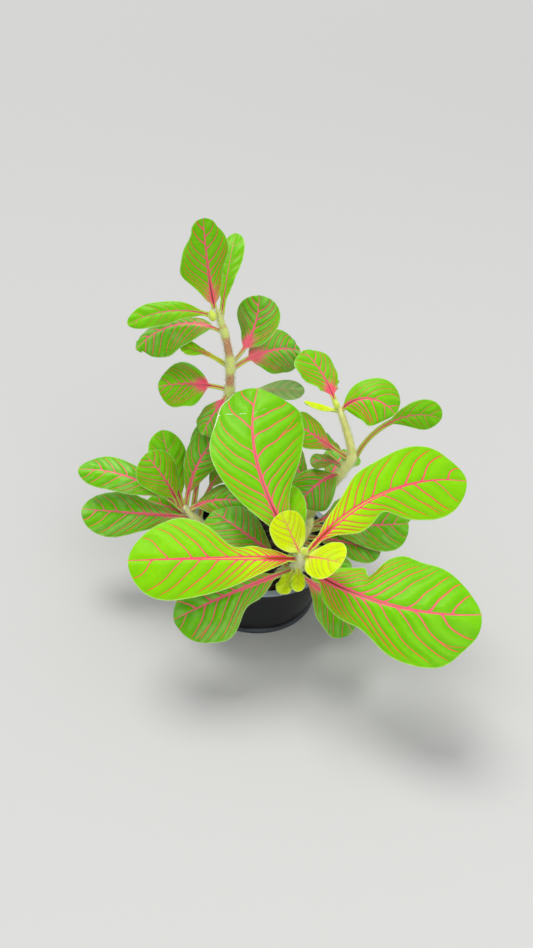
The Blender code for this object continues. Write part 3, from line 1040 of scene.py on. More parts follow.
    def measure_veins(self, half: Half) -> None:
        """Work out how far apart one half's side veins are, in vein widths, and which of them fork."""
        leaf = self.leaf
        luck = self.dice.uniform(0.75, 1.2, 64)
        forked = self.dice.uniform(0, 1, 64) < self.FORK_SHARE
        pitch = self.pitch(half)
        whole = np.clip(np.round(half.number).astype(int), 0, 63)
        size = (0.15 + 0.0036 * leaf.width) * self.finish.vein_scale * leaf.marking
        thinning = (1 - 0.35 * self.across) * (1 - 0.9 * smooth_step(self.across, 0.8, 0.97))
        root = 1 + 0.5 * np.exp(-((half.out / 1.1) ** 2))
        ripeness = 0.5 + 0.5 * np.sqrt(np.minimum(1, whole / leaf.pairs))
        width = size * thinning * root * luck[whole] * ripeness
        present = (whole >= 1) & (whole <= leaf.pairs)
        number = np.clip(half.number, 0.5, leaf.pairs + 0.5)
        spread = np.broadcast_to(self.across, pitch.shape)
        half.lateral = np.stack([number, np.where(present, pitch / width, self.BARE), spread], axis=-1)
        bare = smooth_step(self.shares, 1.25 * leaf.stalk, 0.75 * leaf.stalk - 1e-3)
        stalk = np.broadcast_to(bare[:, None], pitch.shape)
        branch = half.number - 0.46 * smooth_step(self.across, 0.42, 1.0)
        source = np.clip(np.round(branch).astype(int), 0, 63)
        held = forked[source] & (source >= 2) & (source < leaf.pairs) & (self.across > 0.4)
        half.fork = np.stack([branch, np.where(held, 1.5 * pitch / width, self.BARE), stalk], axis=-1)

    def pitch(self, half: Half) -> np.ndarray:
        """Millimetres from one vein to the next at each point of one half of the blade."""
        down = np.gradient(half.place, self.shares, axis=0)
        over = np.gradient(half.place, self.across, axis=1)
        rise = np.gradient(half.number, self.shares, axis=0)
        run = np.gradient(half.number, self.across, axis=1)
        couples = ((down, down), (down, over), (over, over))
        dd, do, oo = ((first * second).sum(-1) for first, second in couples)
        steep = (oo * rise**2 - 2 * do * rise * run + dd * run**2) / np.maximum(dd * oo - do**2, 1e-9)
        return 1 / np.sqrt(np.maximum(steep, 1e-6))

    def build(self, skins: list[bpy.types.Material]) -> bpy.types.Object:
        """Make the leaf.

        Args:
            skins: the materials of its upper side, its lower side and its hairs.

        Returns:
            The leaf.
        """
        leaf = self.leaf
        rib = self.midrib(self.shares)
        side_way, up_way = self.frames(self.inside)
        halves = {side: self.shape_half(side, rib, side_way, up_way) for side in Side}
        for half in halves.values():
            self.measure_veins(half)
        left, right = halves[Side.LEFT], halves[Side.RIGHT]
        surface = np.concatenate([left.place[:, :0:-1], right.place], axis=1)
        out = np.concatenate([left.out[:, :0:-1], right.out], axis=1)
        across = np.concatenate([self.across[:0:-1], self.across])
        normal = unit(np.cross(np.gradient(surface, axis=1), np.gradient(surface, axis=0)))
        fading = 1 - self.inside
        keel = 1.15 * fading**0.7 * min(1.0, 0.5 + leaf.width / 50)
        keel_width = 0.55 + 0.4 * fading
        blade = self.BLADE_THICKNESS + (self.EDGE_THICKNESS - self.BLADE_THICKNESS) * across**4
        thick = blade[None] + keel[:, None] * np.exp(-((out / keel_width[:, None]) ** 2))
        thick = thick * smooth_step(self.shares, 1.06, 0.93)[:, None]
        under = surface - normal * np.maximum(thick, 0.12)[..., None]
        draft = Draft(data={key: [] for key in self.ATTRIBUTES})
        self.add_blade(draft, np.concatenate([surface.reshape(-1, 3), under.reshape(-1, 3)]), halves, out)
        self.add_down(draft, surface, side_way)
        return draft.to_object(f"{leaf.name}_grown", skins, sharp=75)

    def add_blade(self, draft: Draft, points: np.ndarray, halves: dict[Side, Half], out: np.ndarray) -> None:
        """Add the blade's upper and lower sides and its edge.

        Args:
            draft: the mesh that they join.
            points: the upper surface's points, then those of the lower.
            halves: both halves of the upper surface.
            out: how far each point of the surface is from the midrib.
        """
        rows, columns = out.shape
        middle = len(self.across) - 1
        index = np.arange(rows * columns).reshape(rows, columns)
        spots = []
        for row in range(rows - 1):
            for column in range(columns - 1):
                spots.append([(row, column), (row, column + 1), (row + 1, column + 1), (row + 1, column)])
        loop = [(0, column) for column in range(columns - 1)]
        loop += [(row, columns - 1) for row in range(rows - 1)]
        loop += [(rows - 1, column) for column in range(columns - 1, 0, -1)]
        loop += [(row, 0) for row in range(rows - 1, 0, -1)]
        rim = [[there, here, here, there] for here, there in zip(loop, loop[1:] + loop[:1])]
        upper = [tuple(int(index[spot]) for spot in quad) for quad in spots]
        lower = [tuple(rows * columns + corner for corner in quad[::-1]) for quad in upper]
        edge = [
            tuple(int(index[spot]) + (rows * columns if turn > 1 else 0) for turn, spot in enumerate(quad))
            for quad in rim
        ]
        data = {("rib", Domain.POINT): np.concatenate([self.rib_values(out)] * 2)}
        data[("habit", Domain.POINT)] = np.concatenate([self.habit_values(out)] * 2)
        corners = spots + [quad[::-1] for quad in spots] + rim
        for label in ("lateral", "fork"):
            values = []
            for quad in corners:
                side = Side.LEFT if min(column for _, column in quad) < middle else Side.RIGHT
                table = getattr(halves[side], label)
                values.extend(table[row, abs(column - middle)] for row, column in quad)
            data[(label, Domain.CORNER)] = np.array(values)
        first = len(draft.slots)
        draft.add(points, upper + lower + edge, 0, data)
        draft.slots[first + len(upper) : first + len(upper) + len(lower)] = [1] * len(lower)

    def rib_values(self, out: np.ndarray) -> np.ndarray:
        """Distance from the midrib in its own widths, share of the length, and distance in core widths."""
        leaf = self.leaf
        least = np.minimum(*(self.half_width(self.shares, side) for side in Side))
        width = (0.62 + 0.024 * leaf.width) * (1 - 0.9 * self.inside**0.75) * self.finish.vein_scale
        width = np.minimum(width * (0.15 + 0.85 * leaf.marking), 0.22 + 0.4 * least)
        width = (width * (1 - 0.55 * smooth_step(self.shares, leaf.stalk, 0.6 * leaf.stalk - 1e-3)))[:, None]
        fade = np.clip(1.2 - self.inside / self.finish.core_length, 0.02, 1)[:, None]
        core = self.finish.core_width * width * fade
        shares = np.broadcast_to(self.shares[:, None], out.shape)
        return np.stack([out / width, shares, out / core], axis=-1).reshape(-1, 3)

    def habit_values(self, out: np.ndarray) -> np.ndarray:
        """Pink flush, distance to the edge in millimetres, and distance to a scar in its own widths."""
        leaf = self.leaf
        half = out.shape[1] // 2
        beyond = np.clip((self.inside - leaf.stalk) / 0.42, 0, 2)[:, None]
        flush = np.exp(-((beyond / 0.55) ** 2)) * np.exp(-((out / (0.2 * leaf.width)) ** 2))
        started = smooth_step(self.shares, 0.75 * leaf.stalk, leaf.stalk + 0.03)[:, None]
        flush = leaf.flush * smooth_step(flush, 0.15, 0.75) * started
        limit = np.repeat(out[:, [0, -1]], [half, half + 1], axis=1)
        to_edge = np.minimum(limit - out, (1 - self.inside)[:, None] * leaf.length)
        signed = np.concatenate([-out[:, :half], out[:, half:]], axis=1)
        line = 0.815 + 0.003 * np.sin(1.3 * signed) + 0.011 * np.maximum(signed, 0)
        scratch = np.abs(self.shares[:, None] - line) * leaf.length / 0.15 + np.maximum(signed, 0) * 0.12
        beyond_tear = np.maximum(0, np.abs(self.shares[:, None] - 0.84) - 0.08)
        torn = to_edge / 0.4 + 9 * (signed > 0) + 30 * beyond_tear
        scar = np.minimum(scratch, torn) + (0 if leaf.scarred else 1000)
        return np.stack([flush, to_edge, scar], axis=-1).reshape(-1, 3)

    def add_down(self, draft: Draft, surface: np.ndarray, side_way: np.ndarray) -> None:
        """Fringe both edges with short hairs."""
        down = Down(0.42, 0.03, 0.35, self.dice)
        along = unit(np.gradient(surface, axis=0))
        for column, side in ((0, Side.LEFT), (surface.shape[1] - 1, Side.RIGHT)):
            edge = surface[3:, column]
            reach = np.concatenate([[0], np.cumsum(np.linalg.norm(np.diff(edge, axis=0), axis=1))])
            spots = np.arange(0.3, reach[-1], 0.7)
            spots = spots + self.dice.uniform(-0.3, 0.3, len(spots))
            roots = np.stack([np.interp(spots, reach, edge[:, axis]) for axis in range(3)], axis=1)
            outward = side.value * side_way[3:] + 0.5 * along[3:, column]
            ways = np.stack([np.interp(spots, reach, outward[:, axis]) for axis in range(3)], axis=1)
            down.grow(draft, roots, unit(ways), 2)


YELLOW, LIME, GREEN, DEEP = Tone
LEFT, RIGHT = Side

# name, stem, height, heading, rise, droop, sweep, length, width, roll, cup, stalk, taper, tone
# Not a model to copy: in all leaves but the three back_ ones, heading, rise, droop, sweep and length began as
# another program's fitted figures, and many were then changed.
LEAVES = (
    Leaf(
        "front_left_leaf", "front_stem", 47, 188, 4, 12, -8, 55, 28, 28, 0.25, 0.00, 1.00, LIME,
        pairs=13, crowding=14, quilt=0.35,
        bays=(Bay(RIGHT, 0.36, 0.52, 0.11), Bay(RIGHT, 0.19, 0.15, 0.05), Bay(RIGHT, 0.7, -0.14, 0.16)),
    ),
    Leaf(
        "front_back_leaf", "front_stem", 49, 139, 38, 18, -60, 66, 35, 0, 0.25, 0.05, 1.00, GREEN,
        pairs=10, crowding=5, scarred=True,
        bays=(
            Bay(RIGHT, 0.52, -0.14, 0.14), Bay(RIGHT, 0.74, -0.08, 0.12), Bay(RIGHT, 0.93, -0.2, 0.08),
            Bay(LEFT, 0.8, 0.22, 0.14), Bay(LEFT, 0.93, 0.14, 0.05),
        ),
    ),
    Leaf(
        "front_right_leaf", "front_stem", 50, 38, 42, 58, -23, 65, 27, -32, 0.15, 0.05, 1.05, LIME,
        pairs=14, crowding=9, quilt=0.35,
        bays=(
            Bay(RIGHT, 0.25, -0.35, 0.08), Bay(RIGHT, 0.45, 0.4, 0.07),
            Bay(LEFT, 0.28, 0.1, 0.1), Bay(LEFT, 0.42, -0.15, 0.1), Bay(LEFT, 0.95, 0.15, 0.06),
        ),
    ),
    Leaf(
        "front_near_right_leaf", "front_stem", 44, -48, 3, 0, 54, 60, 35, -28, 0.35, 0.04, 0.85, GREEN,
        pairs=12, crowding=7,
        bays=(
            Bay(LEFT, 0.5, -0.3, 0.14), Bay(LEFT, 0.365, 0.4, 0.035), Bay(LEFT, 0.2, -0.1, 0.06),
            Bay(RIGHT, 0.43, 0.25, 0.11), Bay(RIGHT, 0.14, 0.5, 0.03), Bay(RIGHT, 0.92, 0.18, 0.08),
        ),
    ),
    Leaf(
        "front_low_left_leaf", "front_stem", 38, 213, 0, 36, -28, 44, 26, 25, 0.45, 0.14, 0.80, DEEP,
        pairs=9, quilt=0.7, bays=(Bay(LEFT, 0.42, 0.28, 0.1), Bay(LEFT, 0.64, -0.1, 0.12)),
    ),
    Leaf(
        "front_low_right_leaf", "front_stem", 34, -36, -4, 55, 10, 29, 18, -10, 0.40, 0.16, 0.80, DEEP,
        pairs=7, flush=0.6, ruffle=0.7, bays=(Bay(LEFT, 0.22, -0.5, 0.03), Bay(LEFT, 0.3, -0.35, 0.02)),
    ),
    Leaf(
        "front_young_back_leaf", "front_stem", 51, 140, 52, 5, -8, 14, 15, 0, 0.15, 0.02, 0.4, YELLOW,
        pairs=5, ruffle=0.1, quilt=0.2,
    ),
    Leaf(
        "front_young_near_leaf", "front_stem", 51, -48, 34, 16, 6, 16, 15, -25, 0.15, 0.02, 0.42, YELLOW,
        pairs=5, ruffle=0.2, quilt=0.2,
    ),
    Leaf(
        "front_sprout_left_leaf", "front_stem", 40, -121, -20, 0, 5, 10, 6, 0, 0.20, 0.02, 0.60, YELLOW,
        filed="leaf_lime",
        pairs=3, marking=0.15, ruffle=0.7,
    ),
    Leaf(
        "front_sprout_right_leaf", "front_stem", 42, -92, -24, 5, 0, 8, 5, 0, 0.20, 0.02, 0.60, YELLOW,
        filed="leaf_lime",
        pairs=3, marking=0.15, ruffle=0.5,
    ),
    Leaf(
        "front_hidden_leaf", "front_stem", 41, 107, 60, 40, -6, 28, 12, 0, 0.20, 0.15, 0.60, LIME,
        marking=0.3,
    ),
    Leaf("front_inner_leaf", "front_stem", 36, 158, 31, 44, -30, 37, 20, 10, 0.25, 0.20, 0.75, DEEP, pairs=9),
    Leaf("left_far_leaf", "left_stem", 35.5, 172, 45, 60, -2, 44, 15, 25, 0.40, 0.20, 0.55, DEEP),
    Leaf(
        "left_near_leaf", "left_stem", 32.5, 192, 10, 18, -24, 41, 20, 28, 0.40, 0.12, 0.70, DEEP,
        quilt=0.9,
    ),
    Leaf(
        "left_upright_leaf", "left_stem", 38.4, 158, 66, 30, -5, 22, 18, 20, 0.40, 0.10, 0.60, GREEN,
        pairs=8, marking=0.7,
    ),
    Leaf(
        "left_back_leaf", "left_stem", 36.5, 125, 50, 10, -14, 30, 15, 0, 0.20, 0.10, 0.70, GREEN,
        pairs=6, marking=0.5,
    ),
    Leaf("left_small_leaf", "left_stem", 31, 160, 20, 25, 0, 20, 9, 20, 0.20, 0.10, 0.80, GREEN, pairs=5),
    Leaf("left_inner_leaf", "left_stem", 36, 5, 38, 48, -14, 22, 17, -25, 0.40, 0.10, 0.80, DEEP, pairs=6),
    Leaf("left_tall_leaf", "left_stem", 37, 66, 76, 50, -30, 34, 16, -20, 0.30, 0.12, 0.80, DEEP, quilt=0.7),
    Leaf("left_rear_leaf", "left_stem", 33, 84, 54, 5, 0, 35, 10, 0, 0.20, 0.30, 0.70, DEEP),
    Leaf("left_stalked_leaf", "left_stem", 31, 72, 62, 22, -49, 25, 12, 0, 0.20, 0.50, 0.80, DEEP, pairs=6),
    Leaf(
        "tall_top_leaf", "tall_stem", 105, 124, 66, -16, 0, 30, 19, 0, 0.20, 0.02, 0.60, GREEN,
        pairs=9, ruffle=0.7, flush=0.6,
        bays=(
            Bay(LEFT, 0.4, -0.3, 0.14), Bay(LEFT, 0.82, 0.35, 0.14),
            Bay(RIGHT, 0.3, 0.2, 0.2), Bay(RIGHT, 0.9, 0.15, 0.06),
        ),
    ),
    Leaf(
        "tall_top_rear_leaf", "tall_stem", 101, 84, 56, 30, 0, 35, 10, 10, 0.20, 0.10, 0.90, GREEN,
        marking=0.3,
    ),
    Leaf(
        "tall_upper_left_leaf", "tall_stem", 102, 187, 20, 50, 8, 32, 10, 40, 0.30, 0.12, 0.60, GREEN,
        marking=0.4,
    ),
    Leaf(
        "tall_drooping_leaf", "tall_stem", 97, 160, 14, 64, 40, 35, 20, 25, 0.90, 0.08, 0.60, DEEP,
        pairs=9, quilt=0.7, bays=(Bay(LEFT, 0.96, 0.45, 0.02),),
    ),
    Leaf(
        "tall_small_leaf", "tall_stem", 85, 166, 28, 25, 8, 18, 7, 20, 0.20, 0.40, 0.80, LIME,
        filed="leaf_green", pairs=4, marking=0.4, flush=0.3,
    ),
    Leaf(
        "tall_right_upright_leaf", "tall_stem", 87, 27, 40, -35, 62, 25, 18, 0, 0.40, 0.22, 0.50, DEEP,
        pairs=7, flush=1.0, quilt=0.8,
    ),
    Leaf(
        "tall_right_leaf", "tall_stem", 84, 25, 30, 60, 20, 31, 19, -45, 0.40, 0.20, 0.50, DEEP,
        pairs=9, flush=0.9, quilt=0.8, bays=(Bay(RIGHT, 0.38, -0.2, 0.14),),
    ),
    Leaf(
        "tall_left_round_leaf", "tall_stem", 76, 180, 12, 28, 0, 25, 19, 30, 0.40, 0.25, 0.45, GREEN,
        pairs=8, flush=1.0, quilt=0.8, marking=0.85,
        bays=(Bay(RIGHT, 0.6, -0.3, 0.25), Bay(LEFT, 0.4, -0.2, 0.15)),
    ),
    Leaf(
        "tall_low_leaf", "tall_stem", 74, -125, -30, 25, -10, 17, 15, 0, 0.40, 0.12, 0.50, DEEP,
        pairs=5, flush=1.0,
    ),
    Leaf("tall_low_right_leaf", "tall_stem", 73, 30, 2, 8, -25, 28, 8, 120, 0.20, 0.30, 0.70, DEEP, pairs=7),
    Leaf(
        "right_top_leaf", "right_stem", 79, 120, 46, 25, 20, 23, 18, 0, 0.25, 0.12, 0.70, GREEN,
        pairs=7, flush=1.0, ruffle=0.6, marking=0.8,
        bays=(Bay(RIGHT, 0.2, -0.5, 0.025), Bay(RIGHT, 0.29, -0.3, 0.02), Bay(LEFT, 0.24, -0.3, 0.03)),
    ),
    Leaf(
        "right_drooping_leaf", "right_stem", 78, -15, 60, 112, 0, 22, 20, -35, 0.30, 0.02, 0.50, GREEN,
        pairs=6, marking=0.9,
    ),
    Leaf(
        "right_outer_leaf", "right_stem", 60, 22, 70, 95, -12, 38, 12, -70, 0.30, 0.45, 0.80, GREEN,
        filed="leaf_deep",
        pairs=7, marking=0.6,
    ),
    Leaf(
        "right_young_leaf", "right_stem", 77.5, -152, 18, -10, 4, 14, 6.5, 0, 0.20, 0.05, 0.50, YELLOW,
        filed="leaf_lime",
        pairs=3, marking=0.1, ruffle=0.1,
    ),
    Leaf(
        "right_long_stalk_leaf", "right_stem", 60, 190, 38, 10, -26, 26, 14, 28, 0.20, 0.30, 0.60, GREEN,
        filed="leaf_deep",
        flush=0.7,
    ),
    Leaf("right_inner_leaf", "right_stem", 59, 165, 48, 34, 0, 15, 10, 0, 0.20, 0.10, 0.80, DEEP, pairs=6),
    Leaf("right_low_leaf", "right_stem", 56, 165, 23, 50, 20, 12, 11, 0, 0.20, 0.10, 0.80, DEEP, pairs=6),
    Leaf(
        "right_hanging_leaf", "right_stem", 53, -142, 10, 65, 0, 20, 19, 20, 0.40, 0.05, 0.60, DEEP,
        pairs=6,
    ),
    Leaf(
        "middle_upright_leaf", "right_stem", 41, 165, 50, 20, -60, 24, 12, 0, 0.30, 0.20, 0.80, DEEP,
        pairs=6,
    ),
    Leaf("middle_outer_leaf", "middle_stem", 37, 4, 2, 8, 14, 37, 21, -25, 0.40, 0.12, 0.80, DEEP, quilt=0.8),
    Leaf("middle_far_leaf", "middle_stem", 35, 24, 0, 0, -8, 42, 10, -20, 0.30, 0.50, 0.80, GREEN),
    Leaf("middle_near_leaf", "middle_stem", 32, -10, 8, 34, 14, 28, 13, -20, 0.40, 0.10, 0.80, DEEP),
    Leaf(
        "middle_low_leaf", "middle_stem", 30, -42, 10, 22, -10, 22, 10, -20, 0.40, 0.10, 0.80, DEEP,
        pairs=6,
    ),
    Leaf(
        "middle_small_leaf", "middle_stem", 40, -27, 44, -10, 20, 18, 10, -30, 0.30, 0.10, 0.80, DEEP,
        pairs=6,
    ),
    Leaf("back_low_left_leaf", "tall_stem", 50, 88, 30, 50, 10, 27, 16, 0, 0.30, 0.20, 0.80, DEEP, quilt=0.7),
    Leaf(
        "back_low_right_leaf", "right_stem", 42, 75, 30, 50, -10, 30, 16, 0, 0.30, 0.20, 0.80, DEEP,
        quilt=0.7,
    ),
    Leaf("back_mid_leaf", "tall_stem", 62, 70, 22, 45, 0, 26, 14, 0, 0.30, 0.20, 0.80, DEEP, quilt=0.7),
)


# ---------------------------------------------------------------------------------------------------
# Growing tips
# ---------------------------------------------------------------------------------------------------


@dataclass(frozen=True)
class Bud:
    """A folded growing tip on the end of a stem: four tiny leaves wrapped round each other."""

    name: str
    stem: str
    radius: float
    length: float
    shift: tuple[float, float, float] = (0.0, 0.0, 0.0)

    ROWS = 26
    SIDES = 32

    def build(self, stem: Stem, skin: bpy.types.Material, down: bpy.types.Material) -> bpy.types.Object:
        """Make the bud.

        Args:
            stem: the stem that it ends.
            skin: the bud's own material.
            down: the material of its hairs.

        Returns:
            The bud.
        """
        dice = np.random.RandomState(len(self.name) + sum(map(ord, self.stem)))
        line = stem.line()
        along = Vector(line[-1, :3] - line[-6, :3]).normalized()
        end = line[-1, :3] + np.array(self.shift)
        turn = np.array(along.to_track_quat("Z", "Y").to_matrix())
        shares = np.linspace(0, 1, self.ROWS)
        angles = np.linspace(0, math.tau, self.SIDES, endpoint=False)
        plump = np.sin(math.pi * np.clip(0.06 + 0.94 * shares, 0, 1)) ** 0.65 * (1.1 - 0.35 * shares)
        folds = 1 + 0.16 * np.abs(np.sin(2 * angles[None] + 1.3 * shares[:, None])) - 0.08
        ring = self.radius * plump[:, None] * folds
        z = (0.2 + shares * self.length)[:, None] * np.ones_like(ring)
        local = np.stack([ring * np.cos(angles), ring * np.sin(angles), z], axis=-1)
        points = end + local @ turn.T
        draft = Draft(data={("joint", Domain.POINT): []})
        caps = np.stack([end + turn @ np.array([0, 0, tall]) for tall in (0.1, 0.25 + self.length)])
        grid = np.vstack([points.reshape(-1, 3), caps])
        faces = grid_faces(self.ROWS, self.SIDES, closed=True)
        bottom, top = self.ROWS * self.SIDES, self.ROWS * self.SIDES + 1
        last = (self.ROWS - 1) * self.SIDES
        for step in range(self.SIDES):
            right = (step + 1) % self.SIDES
            faces.append((bottom, right, step))
            faces.append((top, last + step, last + right))
        draft.add(grid, faces, 0, {("joint", Domain.POINT): np.full((len(grid), 3), 0.5)})
        count = 90
        rows = dice.randint(1, self.ROWS, count)
        turns = dice.randint(0, self.SIDES, count)
        roots = points[rows, turns]
        Down(0.7, 0.035, 0.3, dice).grow(draft, roots, unit(roots - end - turn @ np.array([0, 0, 1.0])), 1)
        return draft.to_object(f"{self.name}_grown", [skin, down])


BUD_SKIN = StemFinish("growing_tip_skin", "#cfe04a", "#bcd42c", "#d4dc60", "growing_tip")

BUDS = (
    Bud("front_bud", "front_stem", 1.3, 4.0),
    Bud("tall_bud", "tall_stem", 1.5, 4.2, (0.6, -3.0, -7.0)),
    Bud("right_bud", "right_stem", 1.1, 3.6, (0.6, -1.2, -2.4)),
)


# ---------------------------------------------------------------------------------------------------
# Pot and potting mix
# ---------------------------------------------------------------------------------------------------


@dataclass
class GrowersPot:
    """The squat tapered pot: a thin moulded wall, a rolled rim, a stepped foot and four drain holes."""

    rim_radius: float = 31.0
    rim_height: float = 27.0
    rim_roll: float = 1.6
    wall_top: float = 29.0
    wall_foot: float = 22.6
    foot_radius: float = 23.4
    foot_height: float = 1.8
    wall: float = 1.0
    floor: float = 1.6
    hole_radius: float = 2.2
    hole_circle: float = 13.0
    holes: int = 4
    turns: int = 160

    def wall_radius(self, height: float) -> float:
        """Outer radius of the tapered wall."""
        share = (height - self.foot_height) / (self.rim_height - self.foot_height)
        return self.wall_foot + share * (self.wall_top - self.wall_foot)

    def profile(self) -> list[tuple[float, float]]:
        """The wall's section as (radius, height), from the axis up the inside, over the rim and down."""
        roll = self.rim_roll
        inside = self.wall_radius(self.floor) - self.wall
        points = [(0.0, self.floor), (inside - 1.2, self.floor), (inside - 0.35, self.floor + 0.2)]
        points.append((inside + 0.05, self.floor + 0.9))
        for share in (0.25, 0.5, 0.75):
            height = self.floor + share * (self.rim_height - self.floor)
            points.append((self.wall_radius(height) - self.wall, height))
        points.append((self.wall_top - self.wall, self.rim_height - 0.9))
        crown = self.rim_height - 0.8
        middle = 0.5 * (self.wall_top - self.wall + self.rim_radius)
        half = 0.5 * (self.rim_radius - self.wall_top + self.wall)
        for step in range(9):
            angle = math.pi * (1 - step / 8)
            points.append((middle + half * math.cos(angle), crown + 0.8 * math.sin(angle)))
        points.append((self.rim_radius, self.rim_height - roll + 0.3))
        points.append((self.rim_radius - 0.3, self.rim_height - roll))
        points.append((self.wall_radius(self.rim_height - roll) + 0.35, self.rim_height - roll))
        points.append((self.wall_radius(self.rim_height - roll - 0.4), self.rim_height - roll - 0.4))
        for share in (0.8, 0.6, 0.4, 0.2):
            height = self.foot_height + share * (self.rim_height - self.foot_height)
            points.append((self.wall_radius(height), height))
        points.append((self.wall_foot + 0.1, self.foot_height + 0.3))
        points.append((self.foot_radius - 0.3, self.foot_height))
        for angle in (70, 40, 10):
            turn = math.radians(angle)
            out, up = 0.4 * math.cos(turn), 0.4 * math.sin(turn)
            points.append((self.foot_radius - 0.4 + out, self.foot_height - 0.6 + up))
        points.append((self.foot_radius, 0.4))
        points.append((self.foot_radius - 0.12, 0.12))
        points.append((self.foot_radius - 0.4, 0.0))
        points.append((0.0, 0.0))
        return points

    def build(self, plastic: bpy.types.Material) -> bpy.types.Object:
        """Turn the wall, cut the drain holes and return the pot."""
        pot = turned("growers_pot", self.profile(), self.turns, [plastic])
        cutters = []
        for index in range(self.holes):
            angle = math.tau * (index + 0.5) / self.holes
            place = Vector((math.cos(angle), math.sin(angle), 0)) * self.hole_circle * MM
            bm = bmesh.new()
            bmesh.ops.create_cone(
                bm,
                cap_ends=True,
                segments=32,
                radius1=self.hole_radius * MM,
                radius2=self.hole_radius * MM,
                depth=4 * self.floor * MM,
                matrix=Matrix.Translation(place),
            )
            mesh = bpy.data.meshes.new("drain_cutter")
            bm.to_mesh(mesh)
            bm.free()
            cutter = bpy.data.objects.new(f"drain_cutter_{index + 1}", mesh)
            bpy.context.scene.collection.objects.link(cutter)
            cut = pot.modifiers.new("drain", "BOOLEAN")
            cut.operation = "DIFFERENCE"
            cut.object = cutter
            cutters.append(cutter)
        graph = bpy.context.evaluated_depsgraph_get()
        whole = bpy.data.meshes.new_from_object(pot.evaluated_get(graph))
        pot.modifiers.clear()
        pot.data = whole
        for cutter in cutters:
            bpy.data.objects.remove(cutter)
        return pot


def turned(
    name: str, profile: list[tuple[float, float]], turns: int, materials: list[bpy.types.Material]
) -> bpy.types.Object:
    """Turn a section about the upright axis into a closed solid.

    Args:
        name: the piece's name.
        profile: (radius, height) points that start and end on the axis.
        turns: how many faces go round.
        materials: the piece's materials.

    Returns:
        The new object.
    """
    inner = profile[1:-1]
    angles = np.linspace(0, math.tau, turns, endpoint=False)
    rows = [np.stack([r * np.cos(angles), r * np.sin(angles), np.full(turns, z)], axis=1) for r, z in inner]
    start = np.array([[0.0, 0.0, profile[0][1]], [0.0, 0.0, profile[-1][1]]])
    points = np.vstack([*rows, start])
    faces = [face[::-1] for face in grid_faces(len(inner), turns, closed=True)]
    first, final = len(inner) * turns, len(inner) * turns + 1
    last = (len(inner) - 1) * turns
    for step in range(turns):
        right = (step + 1) % turns
        faces.append((first, step, right))
        faces.append((final, last + right, last + step))
    draft = Draft()
    draft.add(points, faces)
    return draft.to_object(name, materials, sharp=40)


@dataclass
class PottingMix:
    """Peat and bark crumbs that fill the pot to below its rim."""

    pot: GrowersPot
    top: float = 21.0
    crown: float = 0.5
    gap: float = 0.3
    crumbs: int = 620
    rings: int = 44
    turns: int = 120

    def build(self, peat: bpy.types.Material) -> bpy.types.Object:
        """Make the plug of mix with its rough top and loose crumbs."""
        dice = np.random.RandomState(11)
        edge = self.pot.wall_radius(self.top - self.crown) - self.pot.wall - self.gap
        bottom = self.pot.floor + self.gap
        angles = np.linspace(0, math.tau, self.turns, endpoint=False)
        rows = []
        for ring in range(1, self.rings + 1):
            radius = edge * ring / self.rings
            heights = []
            for angle in angles:
                spot = Vector((radius * math.cos(angle), radius * math.sin(angle), 0))
                rough = 0.55 * noise.noise(spot * 0.35) + 0.4 * noise.noise(spot * 0.9)
                rough += 0.25 * noise.noise(spot * 2.1)
                heights.append(self.top - self.crown * (ring / self.rings) ** 3 + rough - 0.2)
            ring_line = [radius * np.cos(angles), radius * np.sin(angles), np.array(heights)]
            rows.append(np.stack(ring_line, axis=1))
        low = self.pot.wall_radius(bottom) - self.pot.wall - self.gap
        low_line = [low * np.cos(angles), low * np.sin(angles), np.full(self.turns, bottom)]
        rows.append(np.stack(low_line, axis=1))
        points = np.vstack([*rows, [[0, 0, self.top]], [[0, 0, bottom]]])
        faces = grid_faces(len(rows), self.turns, closed=True)
        faces = [face[::-1] for face in faces]
        first, final = len(rows) * self.turns, len(rows) * self.turns + 1
        last = (len(rows) - 1) * self.turns
        for step in range(self.turns):
            right = (step + 1) % self.turns
            faces.append((first, step, right))
            faces.append((final, last + right, last + step))
        draft = Draft(data={("crumb", Domain.POINT): []})
        draft.add(points, faces, 0, {("crumb", Domain.POINT): np.full((len(points), 3), 0.25)})
        self._add_crumbs(draft, dice, edge)
        return draft.to_object("potting_mix_crumbs", [peat], sharp=50)

    def _add_crumbs(self, draft: Draft, dice: np.random.RandomState, edge: float) -> None:
        """Strew crumbs over the top."""
        bm = bmesh.new()
        bmesh.ops.create_icosphere(bm, subdivisions=2, radius=1)
        ball = np.array([vert.co[:] for vert in bm.verts])
        shell = [tuple(vert.index for vert in face.verts) for face in bm.faces]
        bm.free()
        for _ in range(self.crumbs):
            size = 0.35 + 0.95 * dice.uniform() ** 2.2
            radius = (edge - size - 0.1) * math.sqrt(dice.uniform())
            angle = dice.uniform(0, math.tau)
            lumps = 1 + 0.28 * np.sin(ball @ dice.normal(0, 2.6, 3) + dice.uniform(0, 6))
            lumps += 0.16 * np.sin(ball @ dice.normal(0, 5.5, 3) + dice.uniform(0, 6))
            shape = ball * lumps[:, None] * (size * dice.uniform(0.55, 1.25, 3))
            twist = np.linalg.qr(dice.normal(size=(3, 3)))[0]
            if np.linalg.det(twist) < 0:
                twist[:, 0] *= -1
            shape = shape @ twist
            shape[:, 2] *= 0.75
            height = self.top - self.crown * (radius / edge) ** 3 + 0.2 * size
            shape += [radius * math.cos(angle), radius * math.sin(angle), height]
            tint = np.full((len(shape), 3), dice.uniform(0.0, 0.9))
            draft.add(shape, shell, 0, {("crumb", Domain.POINT): tint})


# ---------------------------------------------------------------------------------------------------
# Studio
# ---------------------------------------------------------------------------------------------------


